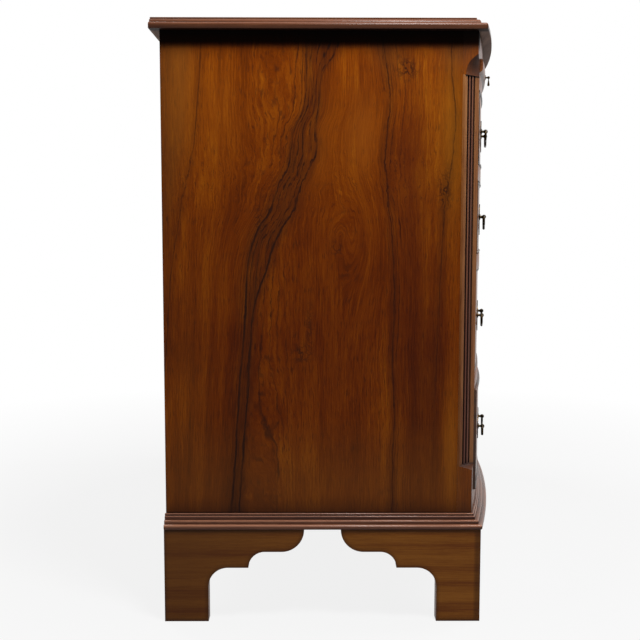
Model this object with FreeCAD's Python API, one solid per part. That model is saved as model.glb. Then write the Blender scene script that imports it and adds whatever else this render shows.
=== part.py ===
import FreeCAD, Part
import math
import os

# A walnut chest of drawers with a bowed front, canted and fluted front corners, a brushing
# slide under the top, four long drawers and bracket feet.
# Millimetres, +Z up. The front faces -Y. The origin is on the floor, at the centre of the
# footprint. Every bowed piece shares one vertical axis, so an "offset" below is a distance
# outside (+) or inside (-) the bowed front face of the carcass, and a pair of offsets is a wall.

# Carcass.
CARCASS_WIDTH = 1120.0         # over the side panels
SIDE_DEPTH = 490.0             # side of the carcass, from its square front corner to the back
BOW_RISE = 66.0                # swell of the front past a line between its corners
SIDE_THICKNESS = 18.0
BACK_THICKNESS = 8.0
BACK_INSET = 1.0               # back panel, in from the back edges of the sides
BOTTOM_THICKNESS = 18.0
SHELL_THICKNESS = 25.0         # bowed frieze and bottom rails, front to back
DIVIDER_THICKNESS = 25.0       # rails between the drawers, top to bottom
DIVIDER_DEPTH = 45.0           # the same rails, from the corner of the carcass to their back
DUST_BOARD_THICKNESS = 8.0
DUST_BOARD_TONGUE = 8.0        # how far a dust board runs into the grooves round it
RUNNER_WIDTH = 45.0
GUIDE_HEIGHT = 15.0            # lip of a runner that stands beside the drawer
KICKER_WIDTH = 40.0

# Heights, from the floor up.
FOOT_HEIGHT = 150.0
BOTTOM_RAIL_HEIGHT = 52.5
LOWER_OPENING = 167.0          # openings of the two deep drawers
UPPER_OPENING = 117.0          # openings of the two shallow drawers
SLIDE_OPENING = 22.0           # opening of the brushing slide
FRIEZE_HEIGHT = 37.5

# Canted corner posts.
POST_WIDTH = 26.0              # across the front, between the side of the carcass and a drawer
POST_STRIP = 5.0               # plain strip of the post beside the cant, on the side
CANT_SETBACK = 18.5            # where the 45 degree cant leaves the side, from the square corner
CANT_STEP = 1.2                # the fluted face lies this far behind the foot of the lamb's tongue
TONGUE_RADIUS = 37.0           # hollow of the lamb's tongue above the flutes
TONGUE_FILLET = 3.0            # plain band between the tongue and the flutes
FLUTED_TOP = 66.0              # top of the fluted face, below the top of the carcass
FLUTED_FOOT = 99.0             # foot of the fluted face, above the bottom of the carcass
STOP_HEIGHT = 6.0              # sloped stop under the flutes
FLUTE_COUNT = 3
FLUTE_WIDTH = 4.3
FLUTE_SPACING = 7.8
FLUTE_MARGIN = 7.3             # first flute, from the side edge of the cant
FLUTE_END = 2.0                # plain wood left at the foot of a flute

# Top board and its moulded edge.
TOP_THICKNESS = 20.0
TOP_OVERHANG = 15.0            # at the sides and the front
TOP_BACK_OVERHANG = 15.0
NOSE_HEIGHT = 10.0             # lower member of the edge
NOSE_RADIUS = 5.0
NOSE_LEDGE = 6.5               # flat ledge between the nose and the ovolo
LEDGE_STEP = 1.2               # small upright step at the back of the ledge
OVOLO_RADIUS = 5.8             # upper member of the edge
OVOLO_FLAT = 1.7               # flat between the ovolo and the fillet that meets the top
TOP_CORNER_RADIUS = 4.0        # rounding of the two front corners, seen from above

# Base moulding, member by member from the bottom: projection, height, rounding of its top edge.
NOSE_MEMBER = (19.0, 8.5, 3.5)
OVOLO_MEMBER = (12.3, 5.5, 2.0)
BAND_MEMBER = (6.0, 4.5, 1.5)
BEAD_MEMBER = (3.4, 2.5, 1.2)
MOULDING_QUIRK = 1.0           # sunk line under the band and under the bead
NOSE_UNDERSIDE_RADIUS = 4.0

# Bracket feet.
FOOT_SETBACK = 2.5             # face of the feet, in from the nose of the base moulding
BASE_BACK = 1.5                # rear feet and base moulding, behind the carcass
BRACKET_LENGTH = 223.0
BRACKET_THICKNESS = 22.0
LEG_WIDTH = 70.0
FIRST_SHELF = 88.0             # height of the first flat of the cut-out
FIRST_SCALLOP = 31.0           # radius from the leg to that flat
CUSP_REACH = 134.0             # from the corner of the foot to the point of the cusp
SECOND_SCALLOP = 26.0          # radius above the cusp
BACK_BRACKET_LENGTH = 150.0
BACK_BRACKET_FOOT = 60.0
BLOCK_SIZE = 40.0              # glue block in the corner of a foot
BLOCK_LIFT = 5.0               # underside of the block, above the floor

# Drawers.
CUT_PAST = 1.0                 # how far a cutting shape runs past what it cuts
DRAWER_GAP = 1.0               # each side of a drawer, and of the slide, to the posts
FRONT_GAP = 1.5                # above and below a drawer front
RUN_GAP = 0.3                  # under a drawer side or the slide, to the runner
DRAWER_STOPS = (1.0, 1.4, 2.4, -1.8)   # closed drawer faces behind the carcass, from the top
FRONT_THICKNESS = 22.0
BEAD_WIDTH = 3.2               # cock bead round a drawer front
BEAD_PROUD = 2.2
BEAD_DEPTH = 8.0               # how far the bead is let into the edges of the front
LINING_THICKNESS = 10.0        # drawer sides
DRAWER_BACK_THICKNESS = 9.0
DRAWER_SIDE_DROP = 8.0         # top of a drawer side, below the top of its front
DRAWER_BACK_DROP = 6.0         # top of a drawer back, below the sides
DRAWER_REAR_GAP = 20.0         # behind a closed drawer
DRAWER_BOTTOM_THICKNESS = 6.0
DRAWER_BOTTOM_RISE = 9.0       # underside of the bottom, above the foot of the drawer sides
SIDE_GROOVE = 5.0
FRONT_GROOVE = 6.0
TAIL_LENGTH = 12.0             # dovetails of the sides, into the front
TAIL_PITCH = 36.0              # about one dovetail for each of these heights
TAIL_NECK = 0.50               # narrow and wide end of a dovetail, as parts of the pitch
TAIL_END = 0.72

# Brushing slide.
SLIDE_THICKNESS = 18.0
SLIDE_DEPTH = 400.0            # from the square front corner of the carcass to its back edge
LIP_PROUD = 5.0                # front lip of the slide, in front of the carcass
LIP_THICKNESS = 25.0
LIP_GAP = 0.5                  # above and below the lip
LIP_TOP_RADIUS = 3.0
LIP_UNDER_RADIUS = 7.0
DROP_RISE = 3.0                # post above the middle of the lip
ROSE_RADIUS = 4.0
ROSE_THICKNESS = 1.0
DROP_POST_RADIUS = 1.5
DROP_HEAD_RADIUS = 2.4
DROP_REACH = 5.8               # axis of the drop pull, from the face of the lip
DROP_PIN_RADIUS = 0.8
DROP_LENGTH = 14.5             # axis to the lowest point
DROP_BOB_RADIUS = 2.1

# Bail handles on the drawers.
HANDLE_INSET = 175.0           # middle of a handle, from the side of the carcass
HANDLE_RISE = 2.0              # posts above the middle of the drawer
POST_SPACING = 90.0
PLATE_THICKNESS = 1.2
PLATE_HALF_WIDTH = 56.0
PLATE_ABOVE = 22.0             # top and bottom of the plate, from the line of the posts
PLATE_BELOW = 31.0
FLANGE_RADIUS = 4.5
FLANGE_HEIGHT = 1.4
STEM_RADIUS = 2.1
HEAD_RADIUS = 3.6
BAIL_REACH = 8.0               # axis of the bail, from the face of the drawer
SHANK_RADIUS = 2.0
NUT_RADIUS = 4.6
NUT_HEIGHT = 3.0
NUT_GAP = 0.15
PIVOT_RADIUS = 1.5
PIVOT_CLEARANCE = 0.05
BAIL_RADIUS = 1.9
BAIL_GAP = 0.6                 # between the head of a post and the bail beside it
BAIL_DROP = 20.0               # axis to the middle of the grip
BAIL_SHOULDER = 13.5           # how far the sides of the bail hang before they turn in
BAIL_SHOULDER_RUN = 25.0       # inward run of the shoulder
BAIL_SWEEP = 10.0              # slope from the shoulder down to the grip, sideways
BAIL_CORNER_RADIUS = 4.5
BAIL_BEND_RADIUS = 7.0

# Locks.
KEYHOLE_DROP = 32.0            # keyhole below the top of the drawer front
KEYHOLE_RADIUS = 2.6
KEY_SLOT_WIDTH = 2.6
KEY_SLOT_LENGTH = 7.0
ESCUTCHEON_SCALE = (0.33, 0.80)    # width and height against a handle plate
LOCK_WIDTH = 56.0
LOCK_HEIGHT = 44.0
LOCK_THICKNESS = 11.0
LOCK_PROUD = 2.0               # case of the lock, out of the inner face of the front
LOCK_DROP = 4.5                # top of the lock, below the top of the front

# Worked out from the sizes above.
HALF = CARCASS_WIDTH / 2
BOW_RADIUS = (HALF ** 2 + BOW_RISE ** 2) / (2 * BOW_RISE)
MOULDING_PROJECTION = NOSE_MEMBER[0]
FRONT_REACH = BOW_RISE + max(MOULDING_PROJECTION, TOP_OVERHANG)
BACK_REACH = SIDE_DEPTH + TOP_BACK_OVERHANG
CORNER_Y = (FRONT_REACH - BACK_REACH) / 2
AXIS_Y = CORNER_Y - BOW_RISE + BOW_RADIUS
CARCASS_BACK = CORNER_Y + SIDE_DEPTH
BASE_REAR = CARCASS_BACK + BASE_BACK
BACK_PANEL_REAR = CARCASS_BACK - BACK_INSET
BACK_PANEL_FRONT = BACK_PANEL_REAR - BACK_THICKNESS
POST_BACK = CORNER_Y + CANT_SETBACK + POST_STRIP
POST_INNER = HALF - POST_WIDTH
SIDE_INNER = HALF - SIDE_THICKNESS
DIVIDER_BACK = CORNER_Y + DIVIDER_DEPTH
MOVING_HALF = POST_INNER - DRAWER_GAP
FRONT_INNER = -FRONT_THICKNESS

CARCASS_BOTTOM = FOOT_HEIGHT
OPENING_HEIGHTS = [UPPER_OPENING, UPPER_OPENING, LOWER_OPENING, LOWER_OPENING]
DRAWER_COUNT = len(OPENING_HEIGHTS)
BOTTOM_RAIL_TOP = CARCASS_BOTTOM + BOTTOM_RAIL_HEIGHT
SLIDE_FLOOR = BOTTOM_RAIL_TOP + sum(OPENING_HEIGHTS) + DRAWER_COUNT * DIVIDER_THICKNESS
FRIEZE_BOTTOM = SLIDE_FLOOR + SLIDE_OPENING
CARCASS_TOP = FRIEZE_BOTTOM + FRIEZE_HEIGHT
ROOT_HALF = math.sqrt(0.5)

UP = FreeCAD.Vector(0, 0, 1)


def point(x, y, z=0.0):
    return FreeCAD.Vector(x, y, z)


def box(x0, x1, y0, y1, z0, z1):
    return Part.makeBox(x1 - x0, y1 - y0, z1 - z0, point(x0, y0, z0))


def mirrored(shape):
    """The same piece on the other side of the chest."""
    return shape.mirror(point(0, 0), point(1, 0))


def face_from(steps, place, splines=False):
    """A flat face. A step is a point to go straight to, or a pair: through, end of an arc."""
    start = place(*steps[0])
    here = start
    edges = []
    for step in steps[1:]:
        if isinstance(step[0], tuple):
            end = place(*step[1])
            arc = Part.Arc(here, place(*step[0]), end)
            edges.append((arc.toBSpline() if splines else arc).toShape())
        else:
            end = place(*step)
            edges.append(Part.LineSegment(here, end).toShape())
        here = end
    if here.distanceToPoint(start) > 1e-6:
        edges.append(Part.LineSegment(here, start).toShape())
    return Part.Face(Part.Wire(edges))


def quarter(center, radius, start_deg, end_deg):
    """An arc step about a centre, in the plane of its outline."""
    middle = math.radians((start_deg + end_deg) / 2)
    end = math.radians(end_deg)
    through = (center[0] + radius * math.cos(middle), center[1] + radius * math.sin(middle))
    finish = (center[0] + radius * math.cos(end), center[1] + radius * math.sin(end))
    return (through, finish)


def write(name, solids):
    """Write one node: a single solid, or a group of separate ones."""
    group = solids if isinstance(solids, list) else [solids]
    shape = group[0] if len(group) == 1 else Part.Compound(group)
    if shape.ShapeType == "Compound" and len(shape.Solids) == 1:
        shape = shape.Solids[0]
    shape.exportStep(os.path.join("parts", name + ".step"))


# The bow.

def bow_y(x, offset=0.0):
    """Where the bow lies at x."""
    return AXIS_Y - math.sqrt((BOW_RADIUS + offset) ** 2 - x ** 2)


def bow_step(x_end, x_middle, offset):
    """An arc step along the bow, seen from above."""
    return ((x_middle, bow_y(x_middle, offset)), (x_end, bow_y(x_end, offset)))


def bow_slab(x0, x1, offset, y_back, z0, z1):
    """A board with a bowed front edge and a straight back."""
    middle = (x0 + x1) / 2
    steps = [(x0, bow_y(x0, offset)), bow_step(x1, middle, offset), (x1, y_back), (x0, y_back)]
    return face_from(steps, lambda x, y: point(x, y, z0)).extrude(point(0, 0, z1 - z0))


def bow_shell(x0, x1, outer, inner, z0, z1):
    """A bowed wall between two offsets."""
    middle = (x0 + x1) / 2
    steps = [(x0, bow_y(x0, outer)), bow_step(x1, middle, outer),
             (x1, bow_y(x1, inner)), bow_step(x0, middle, inner)]
    return face_from(steps, lambda x, y: point(x, y, z0)).extrude(point(0, 0, z1 - z0))


def bow_sweep(steps, half_width):
    """Carry a section, given as offset and height, round the bow to a little past half_width.

    Its arcs are splines: a slender torus of this radius doesn't mesh reliably.
    """
    section = face_from(steps, lambda offset, z: point(0, AXIS_Y - BOW_RADIUS - offset, z), True)
    inner_radius = BOW_RADIUS - SIDE_THICKNESS - SHELL_THICKNESS
    half_angle = math.degrees(math.asin(half_width / inner_radius))
    section.rotate(point(0, AXIS_Y), UP, -half_angle)
    return section.revolve(point(0, AXIS_Y), UP, 2 * half_angle)


def bow_frame(x, offset, z):
    """Placement at a spot of the bow: local X along the front, local -Y straight out of it."""
    turn = math.asin(x / (BOW_RADIUS + offset))
    return FreeCAD.Placement(point(x, bow_y(x, offset), z), FreeCAD.Rotation(UP, math.degrees(turn)))


# Carcass.

def behind_post(offset, y_back, z0, z1):
    """A board that fits between the posts at the front and the side panels behind them."""
    between_posts = bow_slab(-POST_INNER, POST_INNER, offset, y_back, z0, z1)
    between_sides = box(-SIDE_INNER, SIDE_INNER, POST_BACK, y_back, z0, z1)
    return between_posts.fuse(between_sides).removeSplitter()


def cant_point(along, out, z):
    """A point beside the left cant: along it from its side edge, out of its face, and up."""
    return point(-HALF + (along - out) * ROOT_HALF,
                 CORNER_Y + CANT_SETBACK - (along + out) * ROOT_HALF, z)


def cant_cutter(steps):
    """Sweep a cut, given as distance out of the cant and height, along the whole cant."""
    start = -2 * POST_WIDTH
    face = face_from(steps, lambda out, z: cant_point(start, out, z))
    return face.extrude(cant_point(2 * POST_WIDTH, 0, 0) - cant_point(start, 0, 0))


def corner_post_left():
    """Square at its ends, canted and fluted between them, with a lamb's tongue over the flutes."""
    post = bow_slab(-HALF, -POST_INNER, 0.0, POST_BACK, CARCASS_BOTTOM, CARCASS_TOP)
    clear = 3 * CANT_SETBACK
    corner_out = CANT_SETBACK * ROOT_HALF
    fluted_top = CARCASS_TOP - FLUTED_TOP
    fluted_foot = CARCASS_BOTTOM + FLUTED_FOOT
    tongue_foot = fluted_top + TONGUE_FILLET
    half_sweep = math.acos(1 - corner_out / TONGUE_RADIUS) / 2
    tongue_top = tongue_foot + TONGUE_RADIUS * math.sin(2 * half_sweep)
    through = (TONGUE_RADIUS * (1 - math.cos(half_sweep)),
               tongue_foot + TONGUE_RADIUS * math.sin(half_sweep))
    tongue = [(0, fluted_top), (0, tongue_foot), (through, (corner_out, tongue_top)),
              (clear, tongue_top), (clear, fluted_top)]
    slope_out = corner_out + CANT_STEP
    fluted = [(-CANT_STEP, fluted_foot), (-CANT_STEP, fluted_top), (clear, fluted_top),
              (clear, fluted_foot - STOP_HEIGHT * (clear + CANT_STEP) / slope_out)]
    post = post.cut(cant_cutter(tongue)).cut(cant_cutter(fluted))
    for index in range(FLUTE_COUNT):
        along = FLUTE_MARGIN + index * FLUTE_SPACING
        foot = cant_point(along, -CANT_STEP, fluted_foot + FLUTE_END)
        height = fluted_top - fluted_foot - FLUTE_END
        post = post.cut(Part.makeCylinder(FLUTE_WIDTH / 2, height, foot))
    return post


def side_left():
    return box(-HALF, -SIDE_INNER, POST_BACK, CARCASS_BACK, CARCASS_BOTTOM, CARCASS_TOP)


def back_panel():
    return box(-SIDE_INNER, SIDE_INNER, BACK_PANEL_FRONT, BACK_PANEL_REAR,
               CARCASS_BOTTOM, CARCASS_TOP)


def bottom_board():
    return behind_post(-SHELL_THICKNESS, BACK_PANEL_FRONT, CARCASS_BOTTOM,
                       CARCASS_BOTTOM + BOTTOM_THICKNESS)


def bowed_rail(z0, z1):
    return bow_shell(-POST_INNER, POST_INNER, 0.0, -SHELL_THICKNESS, z0, z1)


def opening_levels():
    """Floor and ceiling of each drawer opening, from the top drawer down."""
    levels = []
    ceiling = SLIDE_FLOOR - DIVIDER_THICKNESS
    for height in OPENING_HEIGHTS:
        levels.append((ceiling - height, ceiling))
        ceiling -= height + DIVIDER_THICKNESS
    return levels


def divider_tops():
    """The rail under the slide, and those between the drawers."""
    return [SLIDE_FLOOR] + [floor for floor, _ in opening_levels()[:-1]]


def dust_board(top):
    low = top - (DIVIDER_THICKNESS + DUST_BOARD_THICKNESS) / 2
    half = SIDE_INNER - RUNNER_WIDTH + DUST_BOARD_TONGUE
    return box(-half, half, DIVIDER_BACK - DUST_BOARD_TONGUE, BACK_PANEL_FRONT,
               low, low + DUST_BOARD_THICKNESS)


def divider(top):
    rail = behind_post(0.0, DIVIDER_BACK, top - DIVIDER_THICKNESS, top)
    return rail.cut(dust_board(top))


def runner_left(top, height, front):
    """A runner with a guide lip that keeps the drawer straight."""
    shelf = box(-SIDE_INNER, -SIDE_INNER + RUNNER_WIDTH, front, BACK_PANEL_FRONT,
                top - height, top)
    guide = box(-SIDE_INNER, -POST_INNER, front, BACK_PANEL_FRONT, top, top + GUIDE_HEIGHT)
    return shelf.fuse(guide).removeSplitter()


def runners():
    """A pair at each divider, a taller pair on the bottom board, and kickers over the slide."""
    left = [runner_left(top, DIVIDER_THICKNESS, DIVIDER_BACK).cut(dust_board(top))
            for top in divider_tops()]
    left.append(runner_left(BOTTOM_RAIL_TOP, BOTTOM_RAIL_HEIGHT - BOTTOM_THICKNESS, POST_BACK))
    left.append(box(-SIDE_INNER, -SIDE_INNER + KICKER_WIDTH, POST_BACK, BACK_PANEL_FRONT,
                    FRIEZE_BOTTOM, CARCASS_TOP))
    return left + [mirrored(piece) for piece in left]


# Top board.

def top_edge_waste():
    """What is cut from the edge of the top, as depth inside the nose and height."""
    nose_top = CARCASS_TOP + NOSE_HEIGHT
    ovolo_foot = nose_top + LEDGE_STEP
    ovolo_start = NOSE_RADIUS + NOSE_LEDGE
    ovolo_end = ovolo_start + OVOLO_RADIUS
    fillet = ovolo_end + OVOLO_FLAT
    above = CARCASS_TOP + 2 * TOP_THICKNESS
    outside = -TOP_THICKNESS
    return [(outside, nose_top - NOSE_RADIUS), (0, nose_top - NOSE_RADIUS),
            quarter((NOSE_RADIUS, nose_top - NOSE_RADIUS), NOSE_RADIUS, 180, 90),
            (ovolo_start, nose_top), (ovolo_start, ovolo_foot),
            quarter((ovolo_end, ovolo_foot), OVOLO_RADIUS, 180, 90),
            (fillet, ovolo_foot + OVOLO_RADIUS), (fillet, above), (outside, above)]


def top_board():
    """A bowed board whose sides and front carry a fillet and an ovolo over a rounded nose."""
    reach = HALF + TOP_OVERHANG
    rear = CARCASS_BACK + TOP_BACK_OVERHANG
    board = bow_slab(-reach, reach, TOP_OVERHANG, rear, CARCASS_TOP, CARCASS_TOP + TOP_THICKNESS)
    corner_y = bow_y(reach, TOP_OVERHANG)
    corners = [edge for edge in board.Edges
               if edge.BoundBox.YMax < corner_y + 1e-3 and edge.BoundBox.XLength < 1e-3]
    board = board.makeFillet(TOP_CORNER_RADIUS, corners)
    waste = top_edge_waste()
    front_waste = [mapped(step, lambda inward, z: (TOP_OVERHANG - inward, z)) for step in waste]
    board = board.cut(bow_sweep(front_waste, reach + TOP_THICKNESS))
    front = bow_y(0, TOP_OVERHANG + TOP_THICKNESS)
    side_waste = face_from(waste, lambda inward, z: point(-reach + inward, front, z))
    side_waste = side_waste.extrude(point(0, rear + TOP_THICKNESS - front))
    return board.cut(side_waste).cut(mirrored(side_waste))


def mapped(step, change):
    """Change the coordinates of a straight or an arc step."""
    if isinstance(step[0], tuple):
        return tuple(change(*part) for part in step)
    return change(*step)


# Base moulding.

def moulding_steps():
    """Section of the base moulding, as projection from the carcass and height."""
    z = CARCASS_BOTTOM
    nose, height, radius = NOSE_MEMBER
    under = NOSE_UNDERSIDE_RADIUS
    steps = [(0, z), (nose - under, z), quarter((nose - under, z + under), under, -90, 0),
             (nose, z + height - radius),
             quarter((nose - radius, z + height - radius), radius, 0, 90)]
    z += height
    for member, sunk in ((OVOLO_MEMBER, False), (BAND_MEMBER, True), (BEAD_MEMBER, True)):
        projection, height, radius = member
        if sunk:
            groove = projection - MOULDING_QUIRK
            steps += [(groove, z), (groove, z + MOULDING_QUIRK)]
            z += MOULDING_QUIRK
        steps += [(projection, z), (projection, z + height - radius),
                  quarter((projection - radius, z + height - radius), radius, 0, 90)]
        z += height
    steps.append((0, z))
    return steps


def mitre_ends():
    """Ends of the mitre line at the left front corner, inside and outside the base moulding."""
    corner = point(-HALF, CORNER_Y)
    nose_x = -HALF - MOULDING_PROJECTION
    across = point(nose_x, bow_y(nose_x, MOULDING_PROJECTION)) - corner
    return corner - across, corner + across * 3


def plan_prism(corners):
    """An upright prism over the whole height of the base moulding."""
    low = CARCASS_BOTTOM - CUT_PAST
    wire = Part.makePolygon([point(c.x, c.y, low) for c in corners + corners[:1]])
    return Part.Face(wire).extrude(point(0, 0, BOTTOM_RAIL_HEIGHT + 2 * CUT_PAST))


def base_moulding_front():
    inner, outer = mitre_ends()
    front = outer.y - 2 * BOW_RISE
    mask = plan_prism([inner, outer, point(outer.x, front), point(-outer.x, front),
                       point(-outer.x, outer.y), point(-inner.x, inner.y)])
    return bow_sweep(moulding_steps(), HALF + 2 * MOULDING_PROJECTION).common(mask)


def base_moulding_left():
    inner, outer = mitre_ends()
    section = face_from(moulding_steps(), lambda out, z: point(-HALF - out, BASE_REAR, z))
    strip = section.extrude(point(0, outer.y - BASE_REAR))
    rear = BASE_REAR + MOULDING_PROJECTION
    return strip.common(plan_prism([inner, outer, point(outer.x, rear), point(inner.x, rear)]))


# Bracket feet.

def bracket_steps():
    """Face of a bracket, from the corner of the foot along the side of the chest."""
    second_shelf = FIRST_SHELF + SECOND_SCALLOP
    end_radius = FOOT_HEIGHT - second_shelf
    return [(0, 0), (LEG_WIDTH, 0), (LEG_WIDTH, FIRST_SHELF - FIRST_SCALLOP),
            quarter((LEG_WIDTH + FIRST_SCALLOP, FIRST_SHELF - FIRST_SCALLOP),
                    FIRST_SCALLOP, 180, 90),
            (CUSP_REACH, FIRST_SHELF),
            quarter((CUSP_REACH + SECOND_SCALLOP, FIRST_SHELF), SECOND_SCALLOP, 180, 90),
            (BRACKET_LENGTH - end_radius, second_shelf),
            quarter((BRACKET_LENGTH - end_radius, FOOT_HEIGHT), end_radius, -90, 0),
            (0, FOOT_HEIGHT)]


def foot_corner():
    """Outer front corner of the left front foot."""
    x = -HALF - MOULDING_PROJECTION + FOOT_SETBACK
    return x, bow_y(x, MOULDING_PROJECTION - FOOT_SETBACK)


def mitred_bracket(x, y, across, back):
    """A bracket that runs from (x, y) towards `across`, with a 45 degree mitre towards `back`."""
    face = face_from(bracket_steps(), lambda run, z: point(x, y, z) + across * run)
    bracket = face.extrude(back * BRACKET_THICKNESS)
    corner = point(x, y)
    far = across * BRACKET_LENGTH
    in_corner = corner + (across + back) * BRACKET_THICKNESS
    plan = [corner, corner + far, corner + far + back * BRACKET_THICKNESS, in_corner]
    wire = Part.makePolygon(plan + plan[:1])
    return bracket.common(Part.Face(wire).extrude(point(0, 0, FOOT_HEIGHT)))


def glue_block(x, y0, y1):
    return box(x, x + BLOCK_SIZE, y0, y1, BLOCK_LIFT, FOOT_HEIGHT)


def front_foot_left():
    """Two mitred brackets and the block behind them."""
    x, y = foot_corner()
    along = point(1, 0)
    inward = point(0, 1)
    inside_x = x + BRACKET_THICKNESS
    inside_y = y + BRACKET_THICKNESS
    return [mitred_bracket(x, y, along, inward), mitred_bracket(x, y, inward, along),
            glue_block(inside_x, inside_y, inside_y + BLOCK_SIZE)]


def rear_foot_left():
    """A side bracket, a plain back bracket behind it, and their block."""
    x, _ = foot_corner()
    side_face = face_from(bracket_steps(), lambda run, z: point(x, BASE_REAR - run, z))
    side = side_face.extrude(point(BRACKET_THICKNESS, 0))
    inside_x = x + BRACKET_THICKNESS
    inside_y = BASE_REAR - BRACKET_THICKNESS
    back_steps = [(0, 0), (BACK_BRACKET_FOOT, 0), (BACK_BRACKET_LENGTH, FOOT_HEIGHT),
                  (0, FOOT_HEIGHT)]
    back_face = face_from(back_steps, lambda run, z: point(inside_x + run, inside_y, z))
    back = back_face.extrude(point(0, BRACKET_THICKNESS))
    return [side, back, glue_block(inside_x, inside_y - BLOCK_SIZE, inside_y)]


# Brass.

def plate_steps(wide, high):
    """Outline of a pierced-edge plate about its posts, for a width and a height factor."""
    half = PLATE_HALF_WIDTH * wide
    above = PLATE_ABOVE * high
    below = PLATE_BELOW * high
    right = [((0.19 * half, -0.90 * below), (0.34 * half, -0.70 * below)),
             ((0.50 * half, -0.78 * below), (0.66 * half, -0.62 * below)),
             ((0.80 * half, -0.22 * below), (half, 0.10 * above)),
             ((0.84 * half, 0.28 * above), (0.72 * half, 0.62 * above)),
             ((0.58 * half, 0.86 * above), (0.42 * half, 0.66 * above)),
             ((0.28 * half, 0.54 * above), (0.18 * half, 0.78 * above)),
             ((0.10 * half, 0.96 * above), (0, above))]
    ends = [(0, -below)] + [step[1] for step in right]
    left = [((-step[0][0], step[0][1]), (-ends[index][0], ends[index][1]))
            for index, step in enumerate(right)]
    return [(0, -below)] + right + left[::-1]


def curved_plate(x, z, wide, high):
    """A brass plate bent to the drawer face."""
    frame = bow_frame(x, 0.0, z)
    deep = 10 * PLATE_THICKNESS
    blank = face_from(plate_steps(wide, high), lambda along, up: point(along, deep, up))
    blank = blank.extrude(point(0, -2 * deep))
    blank.Placement = frame
    reach = 1.5 * PLATE_HALF_WIDTH * wide
    skin = bow_shell(x - reach, x + reach, PLATE_THICKNESS, 0.0,
                     z - PLATE_BELOW, z + PLATE_ABOVE)
    return blank.common(skin)


def rod(radius, start, end):
    axis = end - start
    return Part.makeCylinder(radius, axis.Length, start, axis)


def handle_post(along):
    """A turned post with a ball head that is bored for the bail, and its shank."""
    seat = PLATE_THICKNESS / 2
    flange = rod(FLANGE_RADIUS, point(along, -seat), point(along, -seat - FLANGE_HEIGHT))
    stem = rod(STEM_RADIUS, point(along, -seat), point(along, -BAIL_REACH))
    head = Part.makeSphere(HEAD_RADIUS, point(along, -BAIL_REACH))
    shank_end = FRONT_THICKNESS + 2 * NUT_HEIGHT
    shank = rod(SHANK_RADIUS, point(along, -seat), point(along, shank_end))
    bore = rod(PIVOT_RADIUS + PIVOT_CLEARANCE, point(along - 2 * HEAD_RADIUS, -BAIL_REACH),
               point(along + 2 * HEAD_RADIUS, -BAIL_REACH))
    return flange.fuse([stem, head, shank]).removeSplitter().cut(bore)


def handle_nut(along):
    """A round nut on the shank, against the hollow inner face of the front."""
    sag = along ** 2 / (2 * BOW_RADIUS)
    start = FRONT_THICKNESS + sag + NUT_GAP
    nut = rod(NUT_RADIUS, point(along, start), point(along, start + NUT_HEIGHT))
    return nut.cut(rod(SHANK_RADIUS, point(along, 0), point(along, start + 2 * NUT_HEIGHT)))


def rounded_path(corners, radii):
    """A wire of straight runs joined by tangent arcs."""
    edges = []
    here = corners[0]
    for before, corner, after, radius in zip(corners, corners[1:], corners[2:], radii):
        back = (before - corner).normalize()
        ahead = (after - corner).normalize()
        half_angle = back.getAngle(ahead) / 2
        setback = radius / math.tan(half_angle)
        bisector = (back + ahead).normalize()
        center = corner + bisector * (radius / math.sin(half_angle))
        start = corner + back * setback
        end = corner + ahead * setback
        edges.append(Part.LineSegment(here, start).toShape())
        edges.append(Part.Arc(start, center - bisector * radius, end).toShape())
        here = end
    edges.append(Part.LineSegment(here, corners[-1]).toShape())
    return Part.Wire(edges)


def bail():
    """A swan-neck bail, hanging, with its pivots in line between the two posts."""
    post = POST_SPACING / 2
    start = post + HEAD_RADIUS + BAIL_GAP
    outer = start + BAIL_CORNER_RADIUS
    shoulder = outer - BAIL_SHOULDER_RUN
    half = [(start, 0), (outer, 0), (outer, -BAIL_SHOULDER), (shoulder, -BAIL_SHOULDER),
            (shoulder - BAIL_SWEEP, -BAIL_DROP)]
    whole = half + [(-along, up) for along, up in half[::-1]]
    corners = [point(along, -BAIL_REACH, up) for along, up in whole]
    radii = [BAIL_CORNER_RADIUS * 0.99, BAIL_SHOULDER / 2.6, BAIL_BEND_RADIUS, BAIL_BEND_RADIUS]
    path = rounded_path(corners, radii + radii[::-1])
    ring = Part.Wire(Part.makeCircle(BAIL_RADIUS, corners[0], point(1, 0)))
    grip = path.makePipeShell([ring], True, True)
    pins = [rod(PIVOT_RADIUS, point(side * (post - HEAD_RADIUS / 2), -BAIL_REACH),
                point(side * start, -BAIL_REACH)) for side in (-1, 1)]
    return grip.fuse(pins).removeSplitter()


def placed(shape, frame):
    copy = shape.copy()
    copy.Placement = frame
    return copy


# Drawers.

def tails(z0, z1, x0, x1):
    """Dovetails on the front end of a drawer side."""
    count = max(2, round((z1 - z0) / TAIL_PITCH))
    pitch = (z1 - z0) / count
    root_y = max(bow_y(x0, FRONT_INNER), bow_y(x1, FRONT_INNER)) + CUT_PAST
    tip_y = min(bow_y(x0, FRONT_INNER), bow_y(x1, FRONT_INNER)) - TAIL_LENGTH - CUT_PAST
    neck = TAIL_NECK * pitch / 2
    end = TAIL_END * pitch / 2
    trim = bow_slab(x0, x1, FRONT_INNER + TAIL_LENGTH, root_y + CUT_PAST, z0, z1)
    pieces = []
    for index in range(count):
        middle = z0 + (index + 0.5) * pitch
        corners = [(root_y, middle - neck), (tip_y, middle - end), (tip_y, middle + end),
                   (root_y, middle + neck)]
        tail = face_from(corners, lambda y, z: point(x0, y, z)).extrude(point(x1 - x0, 0))
        pieces.append(tail.common(trim))
    return pieces


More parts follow.
